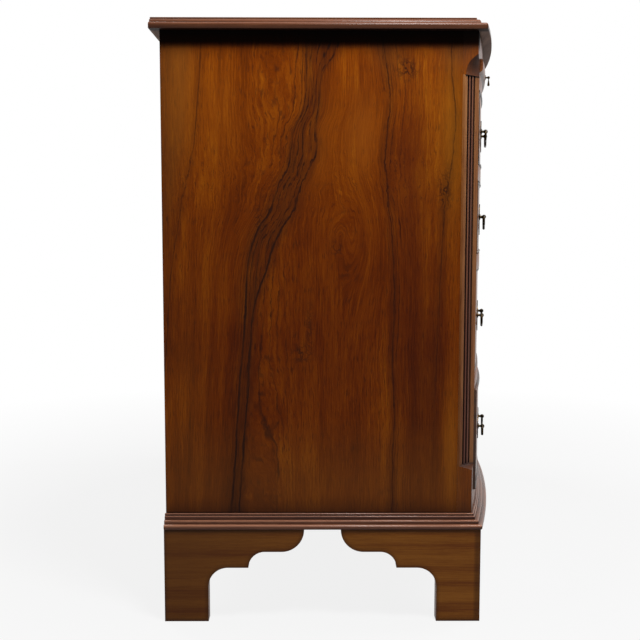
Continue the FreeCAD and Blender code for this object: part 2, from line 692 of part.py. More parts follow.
def cock_bead(z0, z1):
    """Four rounded strips let into the edges of a drawer front."""
    back = -BEAD_DEPTH
    radius = BEAD_WIDTH / 2
    round_start = BEAD_PROUD - radius
    limits = box(-MOVING_HALF, MOVING_HALF, bow_y(0, 2 * FRONT_THICKNESS), DIVIDER_BACK, z0, z1)
    strips = []
    for low in (z0, z1 - BEAD_WIDTH):
        steps = [(back, low), (round_start, low),
                 quarter((round_start, low + radius), radius, -90, 90), (back, low + BEAD_WIDTH)]
        strips.append(bow_sweep(steps, MOVING_HALF + BEAD_WIDTH).common(limits))
    inner = MOVING_HALF - BEAD_WIDTH
    middle = MOVING_HALF - radius
    steps = [(inner, bow_y(inner, back)), (inner, bow_y(inner, round_start)),
             ((middle, bow_y(middle, BEAD_PROUD)),
              (MOVING_HALF, bow_y(MOVING_HALF, round_start))),
             (MOVING_HALF, bow_y(MOVING_HALF, back))]
    low = z0 + BEAD_WIDTH
    upright = face_from(steps, lambda x, y: point(x, y, low))
    upright = upright.extrude(point(0, 0, z1 - BEAD_WIDTH - low))
    return strips + [upright, mirrored(upright)]


def keyhole(z):
    """The hole for the key, round above and a slot below, along Y."""
    front = bow_y(0, 2 * FRONT_THICKNESS)
    depth = 2 * FRONT_THICKNESS
    hole = rod(KEYHOLE_RADIUS, point(0, front, z), point(0, front + 2 * depth, z))
    slot = box(-KEY_SLOT_WIDTH / 2, KEY_SLOT_WIDTH / 2, front, front + 2 * depth,
               z - KEY_SLOT_LENGTH, z)
    return hole.fuse(slot)


def lock_case(front_top):
    top = front_top - LOCK_DROP
    inner_y = bow_y(0, FRONT_INNER)
    return box(-LOCK_WIDTH / 2, LOCK_WIDTH / 2, inner_y + LOCK_PROUD - LOCK_THICKNESS,
               inner_y + LOCK_PROUD, top - LOCK_HEIGHT, top)


def write_drawer(number, floor, ceiling, stop):
    """All pieces of one drawer, made in line with the carcass and then moved to its stop."""
    z0 = floor + FRONT_GAP
    z1 = ceiling - FRONT_GAP
    foot = floor + RUN_GAP
    side_top = z1 - DRAWER_SIDE_DROP
    rear = BACK_PANEL_FRONT - DRAWER_REAR_GAP
    inner = MOVING_HALF - LINING_THICKNESS

    beads = cock_bead(z0, z1)
    bottom_low = foot + DRAWER_BOTTOM_RISE
    bottom_top = bottom_low + DRAWER_BOTTOM_THICKNESS
    groove = inner + SIDE_GROOVE
    bottom = bow_slab(-groove, groove, FRONT_INNER + FRONT_GROOVE, rear, bottom_low, bottom_top)

    side = bow_slab(inner, MOVING_HALF, FRONT_INNER, rear, foot, side_top)
    side = side.fuse(tails(z0, side_top, inner, MOVING_HALF)).removeSplitter()
    sides = [side, mirrored(side)]
    back = box(-inner, inner, rear - DRAWER_BACK_THICKNESS, rear,
               bottom_top, side_top - DRAWER_BACK_DROP)

    post_z = (z0 + z1) / 2 + HANDLE_RISE
    frames = [bow_frame(side_of * (HALF - HANDLE_INSET), 0.0, post_z)
              for side_of in (-1, 1)]
    spots = [-POST_SPACING / 2, POST_SPACING / 2]
    posts = [placed(handle_post(spot), frame) for frame in frames for spot in spots]
    nuts = [placed(handle_nut(spot), frame) for frame in frames for spot in spots]
    plates = [curved_plate(frame.Base.x, post_z, 1.0, 1.0).cut(posts) for frame in frames]

    key_z = z1 - KEYHOLE_DROP
    key = keyhole(key_z)
    case = lock_case(z1)
    escutcheon = curved_plate(0.0, key_z, *ESCUTCHEON_SCALE).cut(key)

    front = bow_shell(-MOVING_HALF, MOVING_HALF, 0.0, FRONT_INNER, z0, z1)
    front = front.cut(beads + sides + [bottom, case, key] + posts)
    sides = [piece.cut(bottom) for piece in sides]

    pieces = {
        "front": [front], "cockbead": beads, "sides": sides, "back": [back], "bottom": [bottom],
        "handle_mounts": plates + posts + nuts, "bail_left": [placed(bail(), frames[0])],
        "bail_right": [placed(bail(), frames[1])], "lock": [case, escutcheon],
    }
    for name, solids in pieces.items():
        for solid in solids:
            solid.translate(point(0, stop))
        write("drawer_%d_%s" % (number, name), solids)


# Brushing slide.

def slide_lip():
    """Bowed front edge of the slide: a small round above, a larger one below."""
    low = SLIDE_FLOOR + LIP_GAP
    high = FRIEZE_BOTTOM - LIP_GAP
    back = LIP_PROUD - LIP_THICKNESS
    under = LIP_PROUD - LIP_UNDER_RADIUS
    over = LIP_PROUD - LIP_TOP_RADIUS
    steps = [(back, low), (under, low),
             quarter((under, low + LIP_UNDER_RADIUS), LIP_UNDER_RADIUS, -90, 0),
             (LIP_PROUD, high - LIP_TOP_RADIUS),
             quarter((over, high - LIP_TOP_RADIUS), LIP_TOP_RADIUS, 0, 90), (back, high)]
    limits = box(-MOVING_HALF, MOVING_HALF, bow_y(0, 2 * LIP_THICKNESS), DIVIDER_BACK, low, high)
    return bow_sweep(steps, MOVING_HALF + BEAD_WIDTH).common(limits)


def slide_board():
    low = SLIDE_FLOOR + RUN_GAP
    return bow_slab(-MOVING_HALF, MOVING_HALF, LIP_PROUD - LIP_THICKNESS,
                    CORNER_Y + SLIDE_DEPTH, low, low + SLIDE_THICKNESS)


def drop_post():
    """A rose, a stem and a bored ball that a drop pull hangs from, with its screw."""
    rose = rod(ROSE_RADIUS, point(0, 0), point(0, -ROSE_THICKNESS))
    stem = rod(DROP_POST_RADIUS, point(0, 0), point(0, -DROP_REACH))
    head = Part.makeSphere(DROP_HEAD_RADIUS, point(0, -DROP_REACH))
    screw = rod(DROP_POST_RADIUS, point(0, 0), point(0, 0.6 * LIP_THICKNESS))
    bore = rod(DROP_PIN_RADIUS + PIVOT_CLEARANCE, point(-2 * DROP_HEAD_RADIUS, -DROP_REACH),
               point(2 * DROP_HEAD_RADIUS, -DROP_REACH))
    return rose.fuse([stem, head, screw]).removeSplitter().cut(bore)


def drop_pull():
    """A pear-shaped drop on a small stirrup."""
    arm = DROP_HEAD_RADIUS + DROP_PIN_RADIUS + BAIL_GAP
    yoke = -DROP_HEAD_RADIUS - DROP_PIN_RADIUS - BAIL_GAP
    bob_z = -DROP_LENGTH + DROP_BOB_RADIUS
    pin = rod(DROP_PIN_RADIUS, point(-arm, -DROP_REACH), point(arm, -DROP_REACH))
    arms = []
    for side in (-1, 1):
        hang = point(side * arm, -DROP_REACH, 0)
        turn = point(side * arm, -DROP_REACH, yoke)
        arms += [rod(DROP_PIN_RADIUS, hang, turn), Part.makeSphere(DROP_PIN_RADIUS, hang),
                 Part.makeSphere(DROP_PIN_RADIUS, turn)]
    bar = rod(DROP_PIN_RADIUS, point(-arm, -DROP_REACH, yoke), point(arm, -DROP_REACH, yoke))
    neck = Part.makeCone(DROP_PIN_RADIUS, 0.92 * DROP_BOB_RADIUS, yoke - bob_z - 1,
                         point(0, -DROP_REACH, yoke), point(0, 0, -1))
    bob = Part.makeSphere(DROP_BOB_RADIUS, point(0, -DROP_REACH, bob_z))
    return pin.fuse(arms + [bar, neck, bob]).removeSplitter()


def write_slide():
    """The brushing slide and its two drop pulls."""
    middle = (SLIDE_FLOOR + FRIEZE_BOTTOM) / 2 + DROP_RISE
    frames = [bow_frame(side * (HALF - HANDLE_INSET), LIP_PROUD, middle) for side in (-1, 1)]
    posts = [placed(drop_post(), frame) for frame in frames]
    write("slide_board", slide_board())
    write("slide_lip", slide_lip().cut(posts))
    write("slide_pull_posts", posts)
    write("slide_drop_left", placed(drop_pull(), frames[0]))
    write("slide_drop_right", placed(drop_pull(), frames[1]))


def write_pair(name, left):
    """A piece of the left side and its mirror image."""
    pieces = left if isinstance(left, list) else [left]
    write(name + "_left", pieces)
    write(name + "_right", [mirrored(piece) for piece in pieces])


def main():
    os.makedirs("parts", exist_ok=True)
    write("top", top_board())
    write_pair("side", side_left())
    write_pair("corner_post", corner_post_left())
    write("back_panel", back_panel())
    write("bottom_board", bottom_board())
    write("frieze_rail", bowed_rail(FRIEZE_BOTTOM, CARCASS_TOP))
    write("bottom_rail", bowed_rail(CARCASS_BOTTOM, BOTTOM_RAIL_TOP))
    write("drawer_dividers", [divider(top) for top in divider_tops()])
    write("dust_boards", [dust_board(top) for top in divider_tops()])
    write("drawer_runners", runners())
    write("base_moulding_front", base_moulding_front())
    write_pair("base_moulding", base_moulding_left())
    write_pair("front_foot", front_foot_left())
    write_pair("rear_foot", rear_foot_left())
    write_slide()
    for number, (floor, ceiling) in enumerate(opening_levels(), start=1):
        write_drawer(number, floor, ceiling, DRAWER_STOPS[number - 1])


main()
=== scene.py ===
# %% [markdown]
# # A bow front chest of drawers, dressed
# The carcass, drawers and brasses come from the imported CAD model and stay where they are.
# Their shapes are already right, so this lesson gives each piece its finish: figured walnut
# under an old french polish, oak and pine inside, and brass that has gone dark.

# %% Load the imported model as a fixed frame
import math

import bmesh
import bpy
from mathutils import Matrix, Vector


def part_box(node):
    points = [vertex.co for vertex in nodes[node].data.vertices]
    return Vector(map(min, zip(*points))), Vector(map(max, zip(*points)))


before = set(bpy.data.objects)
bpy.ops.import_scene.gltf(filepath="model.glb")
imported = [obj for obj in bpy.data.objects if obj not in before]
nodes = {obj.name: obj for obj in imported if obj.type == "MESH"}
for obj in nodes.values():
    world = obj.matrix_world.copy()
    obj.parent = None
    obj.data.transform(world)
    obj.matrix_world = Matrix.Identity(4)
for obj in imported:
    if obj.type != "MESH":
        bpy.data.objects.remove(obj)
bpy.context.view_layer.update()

scene = bpy.context.scene
scene.view_settings.view_transform = "Standard"
MM = 0.001

# %% [markdown]
# ## The eye
# A piece of this size is looked at from a couple of metres away, a little above the middle
# of its side. A lens of 56 mm keeps the edges nearly upright. The camera is turned from a
# forward and a right direction, so that its tilt and roll are plain numbers.

# %% The camera, off the left side of the chest
PITCH, TURN, ROLL = math.radians(5.48), math.radians(0.336), math.radians(0.061)
EYE = Vector((-2.1165, 0.0426, 0.6333))
FOCAL_PIXELS, PICTURE_PIXELS = 992.7, 640
SENSOR_WIDTH = 36.0

forward = Vector((math.cos(PITCH) * math.cos(TURN), -math.cos(PITCH) * math.sin(TURN),
                  -math.sin(PITCH)))
right = forward.cross(Vector((0, 0, 1))).normalized()
above = right.cross(forward)
right, above = (right * math.cos(ROLL) + above * math.sin(ROLL),
                above * math.cos(ROLL) - right * math.sin(ROLL))
camera_data = bpy.data.cameras.new("camera")
camera_data.sensor_width = SENSOR_WIDTH
camera_data.lens = SENSOR_WIDTH * FOCAL_PIXELS / PICTURE_PIXELS
camera = bpy.data.objects.new("camera", camera_data)
scene.collection.objects.link(camera)
turned = Matrix((right, above, -forward)).transposed().to_4x4()
camera.matrix_world = Matrix.Translation(EYE) @ turned
scene.camera = camera
print("lens", round(camera_data.lens, 2), "mm")

# %% [markdown]
# ## One helper for every material
# A material is a tree of nodes. One function adds a node, gives it its settings and its
# inputs, and hands back an output. An input that is itself an output becomes a link, and
# anything else becomes the socket's own value. Colours are written as sRGB hex, as they
# look on a screen, and one function turns them to the linear values that Blender wants.
#
# Two kinds of node recur below. A Mix node takes its factor at socket 0, numbers at 2 and
# 3, vectors at 4 and 5 and colours at 6 and 7, and gives them back at outputs 0, 1 and 2.
# A Map Range node turns the range between inputs 1 and 2 into that between 3 and 4, and
# each of the two is 0 to 1 where it isn't set.


# %% Colours and the node helper
def linear(hex_code):
    """An sRGB hex colour as linear red, green, blue and alpha."""
    shares = [int(hex_code[start:start + 2], 16) / 255 for start in (1, 3, 5)]
    shares = [s / 12.92 if s <= 0.04045 else ((s + 0.055) / 1.055) ** 2.4 for s in shares]
    return (*shares, 1.0)


def add(tree, kind, inputs=None, output=0, stops=(), **settings):
    """Add a node with its settings and inputs, and return one of its outputs.
    Stops are the (place, hex colour) pairs along a colour ramp."""
    made = tree.nodes.new("ShaderNode" + kind)
    for name, value in settings.items():
        setattr(made, name, value)
    for key, value in (inputs or {}).items():
        socket = made.inputs[key]
        if isinstance(value, bpy.types.NodeSocket):
            tree.links.new(value, socket)
        else:
            socket.default_value = value
    band = made.color_ramp.elements if stops else ()
    while len(band) < len(stops):
        band.new(0.5)
    for element, (place, colour) in zip(band, stops):
        element.position = place
        element.color = linear(colour)
    return made.outputs[output] if made.outputs else None


print("walnut brown as linear:", [round(share, 3) for share in linear("#6b3410")])

# %% [markdown]
# ## Starting and closing a material
# Every wood here starts as an empty tree and ends in one Principled shader. The fibres'
# relief goes in as a Bump whose depth is a real one, in parts of a millimetre. Masks are
# numbers from 0 to 1, so where several must hold at once they are multiplied together, and
# a stain is a shade mixed over the colour by such a product.

# %% An empty material, its closing surface, and how masks and stains are laid
PLANED_RELIEF = (0.5, 0.12 * MM)  # strength and depth of the fibres on planed wood
POLISHED_RELIEF = (0.35, 0.10 * MM)  # and under a french polish, which fills the pores


def new_finish(name):
    """An empty material by this name, and its tree."""
    made = bpy.data.materials.new(name)
    made.use_nodes = True
    made.node_tree.nodes.clear()
    return made, made.node_tree


def surface(tree, colour, height, roughness, specular, relief=PLANED_RELIEF):
    """Close the tree with one shader, with the height pressed into it as a bump."""
    strength, depth = relief
    bump = add(tree, "Bump", {"Height": height, "Strength": strength, "Distance": depth})
    shader = add(tree, "BsdfPrincipled", {"Base Color": colour, "Roughness": roughness,
                                          "Specular IOR Level": specular, "Normal": bump})
    add(tree, "OutputMaterial", {"Surface": shader})


def overlap(tree, *masks):
    """The masks multiplied together."""
    result = masks[0]
    for mask in masks[1:]:
        result = add(tree, "Math", {0: result, 1: mask}, operation="MULTIPLY")
    return result


def apart(tree, first, second):
    """How far apart two numbers are, whichever is the larger."""
    gap = add(tree, "Math", {0: first, 1: second}, operation="SUBTRACT")
    return add(tree, "Math", {0: gap}, operation="ABSOLUTE")


def sideways(tree):
    """How far a face looks to the left or the right, from 0 to 1."""
    facing = add(tree, "NewGeometry", output="True Normal")
    return add(tree, "Math", {0: add(tree, "SeparateXYZ", {0: facing})}, operation="ABSOLUTE")


def stained(tree, colour, shade, *masks, blend="MIX"):
    """The colour with a shade laid over it, as far as all the masks hold."""
    return add(tree, "Mix", {0: overlap(tree, *masks), 6: colour, 7: linear(shade)}, 2,
               data_type="RGBA", blend_type=blend)


print("relief on planed and polished wood:", PLANED_RELIEF[1] / MM, POLISHED_RELIEF[1] / MM, "mm")

# %% [markdown]
# ## Straight-grained wood
# Wood is a bundle of long fibres, so every pattern in it is stretched along the grain. Each
# noise below is laid out in real sizes: how wide a mark is across the grain, and how long
# it is along it. A slow noise first bends the whole grid, because grain never runs true.
# A Mapping node turns the piece so that its grain runs along the texture's own Z.

# %% Noise stretched along the grain, and the grain's own grid
GRAIN_TURN = {"X": (0, math.radians(-90), 0), "Y": (math.radians(90), 0, 0), "Z": (0, 0, 0)}
WANDER = 12 * MM  # how far straight grain strays to the side


def stretched_noise(tree, place, across, along, detail=2.0, rough=0.5, output=0):
    """A noise whose marks are about this wide and this long, in metres."""
    scale = (1 / across, 1 / across, 1 / along)
    place = add(tree, "VectorMath", {0: place, 1: scale}, operation="MULTIPLY")
    return add(tree, "TexNoise", {"Vector": place, "Scale": 1.0, "Detail": detail,
                                  "Roughness": rough}, output)


def grain_place(tree, along, start=(0.0, 0.0, 0.0), wander=WANDER):
    """Object coordinates with the grain along Z, bent a little by a slow noise."""
    place = add(tree, "TexCoord", output="Object")
    place = add(tree, "Mapping", {"Vector": place, "Rotation": GRAIN_TURN[along],
                                  "Location": start})
    drift = stretched_noise(tree, place, 140 * MM, 420 * MM, output=1)
    drift = add(tree, "VectorMath", {0: drift, 1: (0.5, 0.5, 0.5)}, operation="SUBTRACT")
    drift = add(tree, "VectorMath", {0: drift, 1: (wander, wander, 0)}, operation="MULTIPLY")
    return add(tree, "VectorMath", {0: place, 1: drift}, operation="ADD")


print("straight grain strays by up to", WANDER / MM, "mm")

# %% The colour of straight wood: growth bands, fibres and pores
BAND, FIBRE, PORE = (16 * MM, 700 * MM), (1.8 * MM, 50 * MM), (0.9 * MM, 14 * MM)


def wood_colour(tree, place, colours, pores=0.5):
    """Dark, middle and light wood on a place with its grain along Z: (colour, height, bands)."""
    dark, middle, light = colours
    bands = stretched_noise(tree, place, *BAND, 3.0)
    fibres = stretched_noise(tree, place, *FIBRE, 3.0, 0.7)
    tone = add(tree, "Math", {0: fibres, 1: 0.60, 2: bands}, operation="MULTIPLY_ADD")
    colour = add(tree, "ValToRGB", {0: tone},
                 stops=[(0.62, dark), (0.79, middle), (0.96, light)])
    pore = stretched_noise(tree, place, *PORE, 1.0)
    pore = add(tree, "MapRange", {0: pore, 1: 0.60, 2: 0.72, 3: 0.0, 4: pores})
    colour = stained(tree, colour, dark, pore)
    height = add(tree, "Math", {0: pore, 1: -1.0, 2: fibres}, operation="MULTIPLY_ADD")
    return colour, height, bands


print("fibres are", FIBRE[0] / MM, "mm wide and", FIBRE[1] / MM, "mm long")

# %% [markdown]
# ## What age does to it, with painted shade and highlights
# Wax and dirt gather in the hollows, where a duster doesn't reach, and the hollows also get
# painted shade. An Ambient Occlusion node finds them, since a hollow sees little open sky, and
# the same node turned inside out finds the outer edges. Slopes that face up, such as the
# shoulders of a moulding, are painted paler, as a painted highlight.


# %% Dirt and painted shade in hollows, dark edges, and painted highlights on shoulders
def grimed_and_shaded(tree, colour, depth, share, closed=0.35, clear=0.9):
    """Darker in hollows up to this deep, as old wax and painted shade. Closed and clear are the
    shares of open sky at which the darkening is thickest, and at which it ends."""
    sky = add(tree, "AmbientOcclusion", {"Distance": depth}, "AO", samples=8)
    dirt_and_shade = add(tree, "MapRange", {0: sky, 1: closed, 2: clear, 3: share, 4: 0.0})
    return stained(tree, colour, "#120604", dirt_and_shade)


def dark_edges(tree, colour, reach, share):
    """Darker along outer edges, by occlusion that is seen from inside the wood."""
    within = add(tree, "AmbientOcclusion", {"Distance": reach}, "AO", samples=8, inside=True)
    edge = add(tree, "MapRange", {0: within, 1: 0.55, 2: 1.0, 3: share, 4: 0.0})
    return stained(tree, colour, "#1c0d05", edge)


def painted_highlight(tree, colour, share, shade):
    """A painted highlight, paler on slopes that face up. Level faces hardly change."""
    up = add(tree, "SeparateXYZ", {0: add(tree, "NewGeometry", output="Normal")}, "Z")
    slope = add(tree, "MapRange", {0: up, 1: 0.1, 2: 0.6, 3: 0.0, 4: share})
    level = add(tree, "MapRange", {0: up, 1: 0.85, 2: 0.98, 3: 1.0, 4: 0.2})
    return stained(tree, colour, shade, slope, level)


MOULDING_HOLLOW = 7 * MM  # how deep a hollow of the mouldings can be
# Hollows up to this deep are darkened, as dirt and as painted shade.
print("dirt gathers in hollows up to", MOULDING_HOLLOW / MM, "mm deep")

# %% Plain woods: planed oak and pine inside, dark polished walnut for the base
OAK = ("#6b4a28", "#7f5e38", "#907048")
PINE = ("#7f5b33", "#906b41", "#9f7a4e")
DARK_WALNUT = ("#3f2015", "#5a321f", "#714731")
BOWED_WALNUT = ("#371e14", "#4c2c1d", "#5f3e2d")
RED_WALNUT = ("#4b240b", "#5e2f0e", "#703c15")
BEAD_WALNUT = ("#1a0d06", "#2b170b", "#3d2211")


def straight_wood(name, along, colours, roughness, specular, pores=0.5, grime_and_shade=0.0, light_painted=0.0):
    """Plain wood with its grain along one axis. The last two numbers say how dark its hollows
    are made, by old wax and painted shade, and how pale its upward slopes, by a painted highlight."""
    made, tree = new_finish(name)
    colour, height, bands = wood_colour(tree, grain_place(tree, along), colours, pores)
    # Painted highlight on slopes that face up, then dirt and painted shade in the hollows.
    if light_painted:
        colour = painted_highlight(tree, colour, light_painted, "#a87a62")
    if grime_and_shade:
        colour = grimed_and_shaded(tree, colour, MOULDING_HOLLOW, grime_and_shade)
    sheen = add(tree, "MapRange", {0: bands, 1: 0.3, 2: 0.7,
                                   3: roughness - 0.05, 4: roughness + 0.07})
    surface(tree, colour, height, sheen, specular)
    return made


# Planed and never polished: dull and a little rough, with open pores in the oak.
oak = {axis: straight_wood(f"planed_oak_grain_{axis}", axis, OAK, 0.62, 0.3) for axis in "XY"}
pine = {axis: straight_wood(f"planed_pine_grain_{axis}", axis, PINE, 0.66, 0.3, pores=0.1)
        for axis in "XZ"}
# Polished by hand on mouldings: soft highlights, dirt and painted shade in the hollows, and
# shoulders made paler by a painted highlight.
moulding = {axis: straight_wood(f"polished_dark_walnut_grain_{axis}", axis, colours, 0.30, 0.22,
                                grime_and_shade=0.75, light_painted=light_painted)
            for axis, colours, light_painted in (("X", BOWED_WALNUT, 0.1), ("Y", DARK_WALNUT, 0.42))}
# Redder walnut for the rails and the slide's lip, and a nearly black bead for the drawers.
red_walnut = {axis: straight_wood(f"polished_walnut_grain_{axis}", axis, RED_WALNUT, 0.32,
                                  0.14, grime_and_shade=0.8)
              for axis in "XZ"}
dark_bead = straight_wood("dark_walnut_cockbead", "X", BEAD_WALNUT, 0.35, 0.25)
print("plain woods:", len(oak) + len(pine) + len(moulding) + len(red_walnut) + 1)

# %% [markdown]
# ## Figured walnut veneer
# The sides are each faced with a leaf of walnut that holds the figure of a fork in the tree:
# golden brown wood crossed by clusters of near-black lines, which wander, crowd together and
# open again. The real lines follow the grain, so the trick is to bend the grid first. A Float
# Curve holds how far one dark line strays at each height, and the grid near it is pushed the
# same way. Bands and fibres drawn on that bent grid then flow along the line by themselves.

# %% A Float Curve that says where a dark line stands at each height
LOW_END, HIGH_END = 0.15, 0.95  # heights in metres that the curves run between
REACH = 0.3  # a curve's 0 and 1 are this far either way


def line_place(tree, height, path):
    """How far behind the middle a line stands, from its few given points."""
    share = add(tree, "MapRange", {0: height, 1: LOW_END, 2: HIGH_END})
    curve = add(tree, "FloatCurve", {"Value": share})
    points = curve.node.mapping.curves[0].points
    spots = sorted(((z - LOW_END) / (HIGH_END - LOW_END), 0.5 + y / (2 * REACH))
                   for z, y in path)
    while len(points) < len(spots):
        points.new(0.5, 0.5)
    for point, (x, y) in zip(points, spots):
        point.location = (x, y)
    curve.node.mapping.update()
    return add(tree, "MapRange", {0: curve, 3: -REACH, 4: REACH})


print("the curves span", round(HIGH_END - LOW_END, 2), "m of height")

# %% The dark lines of the side, each point as (height, distance behind the middle)
FORK_LEFT = [(0.95, 0.052), (0.90, 0.055), (0.86, 0.055), (0.81, 0.059), (0.78, 0.074),
             (0.75, 0.079), (0.72, 0.085), (0.687, 0.104), (0.656, 0.113), (0.625, 0.131),
             (0.593, 0.141), (0.56, 0.147), (0.50, 0.150), (0.44, 0.154), (0.38, 0.160),
             (0.32, 0.164), (0.26, 0.168), (0.20, 0.174), (0.15, 0.178)]
FORK_RIGHT = [(0.95, 0.004), (0.90, 0.012), (0.86, 0.032), (0.81, 0.036), (0.78, 0.041),
              (0.75, 0.040), (0.72, 0.051), (0.687, 0.067), (0.656, 0.076), (0.625, 0.096),
              (0.60, 0.107), (0.57, 0.115), (0.54, 0.126), (0.50, 0.137), (0.45, 0.141),
              (0.38, 0.145), (0.32, 0.151), (0.26, 0.156), (0.20, 0.162), (0.15, 0.167)]
OUTER_LINE = [(0.95, -0.058), (0.88, -0.068), (0.82, -0.074), (0.78, -0.070), (0.72, -0.069),
              (0.66, -0.075), (0.60, -0.080), (0.54, -0.083), (0.48, -0.082), (0.42, -0.080),
              (0.34, -0.084), (0.26, -0.083), (0.15, -0.084)]
BOARD_LINE = [(0.95, 0.218), (0.87, 0.219), (0.80, 0.225), (0.75, 0.232), (0.70, 0.243),
              (0.65, 0.252), (0.60, 0.260), (0.50, 0.272), (0.15, 0.290)]
POST_LINE = [(0.95, -0.170), (0.86, -0.170), (0.80, -0.176), (0.74, -0.172), (0.66, -0.160),
             (0.55, -0.156), (0.40, -0.150), (0.15, -0.146)]
print("points on the longest line:", len(FORK_RIGHT))

# %% [markdown]
# ## One recipe for all the veneer
# Every leaf is drawn on a bent grid in the same five layers: clouds of light and dark, growth
# bands, fine fibres, thin dark threads that show only where a mask lets them crowd, and open
# pores. A Ping-Pong of the distance across spaces the threads evenly, and a sway then keeps
# them uneven. Fibres and pores are drawn coarser than real ones, so that they still show.


# %% A bell curve for blending, and a soft oval spot
def bell(tree, value, middle, spread):
    """1 where value meets middle, falling smoothly to 0 about two spreads away."""
    away = add(tree, "Math", {0: value, 1: middle}, operation="SUBTRACT")
    away = add(tree, "Math", {0: away, 1: spread}, operation="DIVIDE")
    away = add(tree, "Math", {0: away, 1: away}, operation="MULTIPLY")
    away = add(tree, "Math", {0: away, 1: -1.0}, operation="MULTIPLY")
    return add(tree, "Math", {0: away}, operation="EXPONENT")


def spot(tree, across, height, row):
    """A soft oval mask: the row holds its place across, its height, its half width and half
    height, and how strong it is."""
    middle, level, wide, tall, share = row
    return overlap(tree, bell(tree, across, middle, wide), bell(tree, height, level, tall), share)


print("a bell curve is down to", round(math.exp(-4), 3), "at two spreads")

# %% The veneer's colour and relief
SIDE_STOPS = [(0.30, "#4d1f00"), (0.43, "#632900"), (0.52, "#713402"), (0.62, "#7f4004"),
              (0.72, "#8e4f08")]
FRONT_STOPS = [(0.30, "#431c00"), (0.43, "#562700"), (0.52, "#643201"), (0.62, "#723e02"),
               (0.72, "#804b07")]
THREAD_SPACING = 6 * MM


def veneer(tree, across, along, crowd, stops):
    """Walnut figure on a bent grid: (colour, height). Crowd is where dark threads gather."""
    grid = add(tree, "CombineXYZ", {0: across, 2: along})
    bands = stretched_noise(tree, grid, 24 * MM, 420 * MM, 5.0, 0.62)
    fibres = stretched_noise(tree, grid, 2.2 * MM, 60 * MM, 5.0, 0.75)
    clouds = stretched_noise(tree, grid, 90 * MM, 200 * MM, 3.0)
    tone = add(tree, "Math", {0: fibres, 1: 0.84, 2: -0.42}, operation="MULTIPLY_ADD")
    tone = add(tree, "Math", {0: clouds, 1: 0.45, 2: tone}, operation="MULTIPLY_ADD")
    tone = add(tree, "Math", {0: bands, 1: 0.55, 2: tone}, operation="MULTIPLY_ADD")
    colour = add(tree, "ValToRGB", {0: tone}, stops=stops)
    sway = stretched_noise(tree, grid, 26 * MM, 420 * MM, 3.0)
    rings = add(tree, "Math", {0: across, 1: 1 / THREAD_SPACING}, operation="MULTIPLY")
    rings = add(tree, "Math", {0: sway, 1: 5.0, 2: rings}, operation="MULTIPLY_ADD")
    rings = add(tree, "Math", {0: rings, 1: 0.5}, operation="PINGPONG")
    threads = add(tree, "MapRange", {0: rings, 1: 0.0, 2: 0.11, 3: 1.0, 4: 0.0},
                  interpolation_type="SMOOTHSTEP")
    shown = stretched_noise(tree, grid, 7 * MM, 150 * MM, 2.0)
    shown = add(tree, "MapRange", {0: shown, 1: 0.36, 2: 0.52})
    colour = stained(tree, colour, "#250d04", threads, shown, crowd, 0.8)
    pores = stretched_noise(tree, grid, 1.3 * MM, 18 * MM, 1.0)
    pores = add(tree, "MapRange", {0: pores, 1: 0.56, 2: 0.70, 3: 0.0, 4: 0.55})
    colour = stained(tree, colour, "#2e1205", pores)
    return colour, add(tree, "Math", {0: fibres, 1: pores}, operation="SUBTRACT")


print("dark threads every", THREAD_SPACING / MM, "mm, where they crowd")

# %% [markdown]
# ## The side, step by step
# The side's leaf takes six steps: bend the grid, stain the wood and paint shade and a
# reflection on it, darken the strip between the fork's two lines, draw the lines, add the
# knots, and close with painted shade under the top and the polish. The first hands back a
# place, and each step after it takes the colour so far and changes it.

# %% Step one: bend the grid round the fork, the outer line and the arch beside them
FORK_HOME, FORK_SPREAD = 0.11, 0.055  # where the fork would stand if it ran straight
OUTER_HOME, OUTER_SPREAD = -0.078, 0.040
ARCH_DEPTH, ARCH_HEIGHT, ARCH_SPREAD = 0.002, 0.615, 0.040
ARCH_STRETCH = 0.55  # height counts this much, so that the arch is taller than wide
RAGGED_HEIGHT, RAGGED_SPREAD = 0.70, 0.06  # where the lines are most ragged
RAGGED, SMOOTH = 10 * MM, 5 * MM  # how much further they stray there, and how far elsewhere


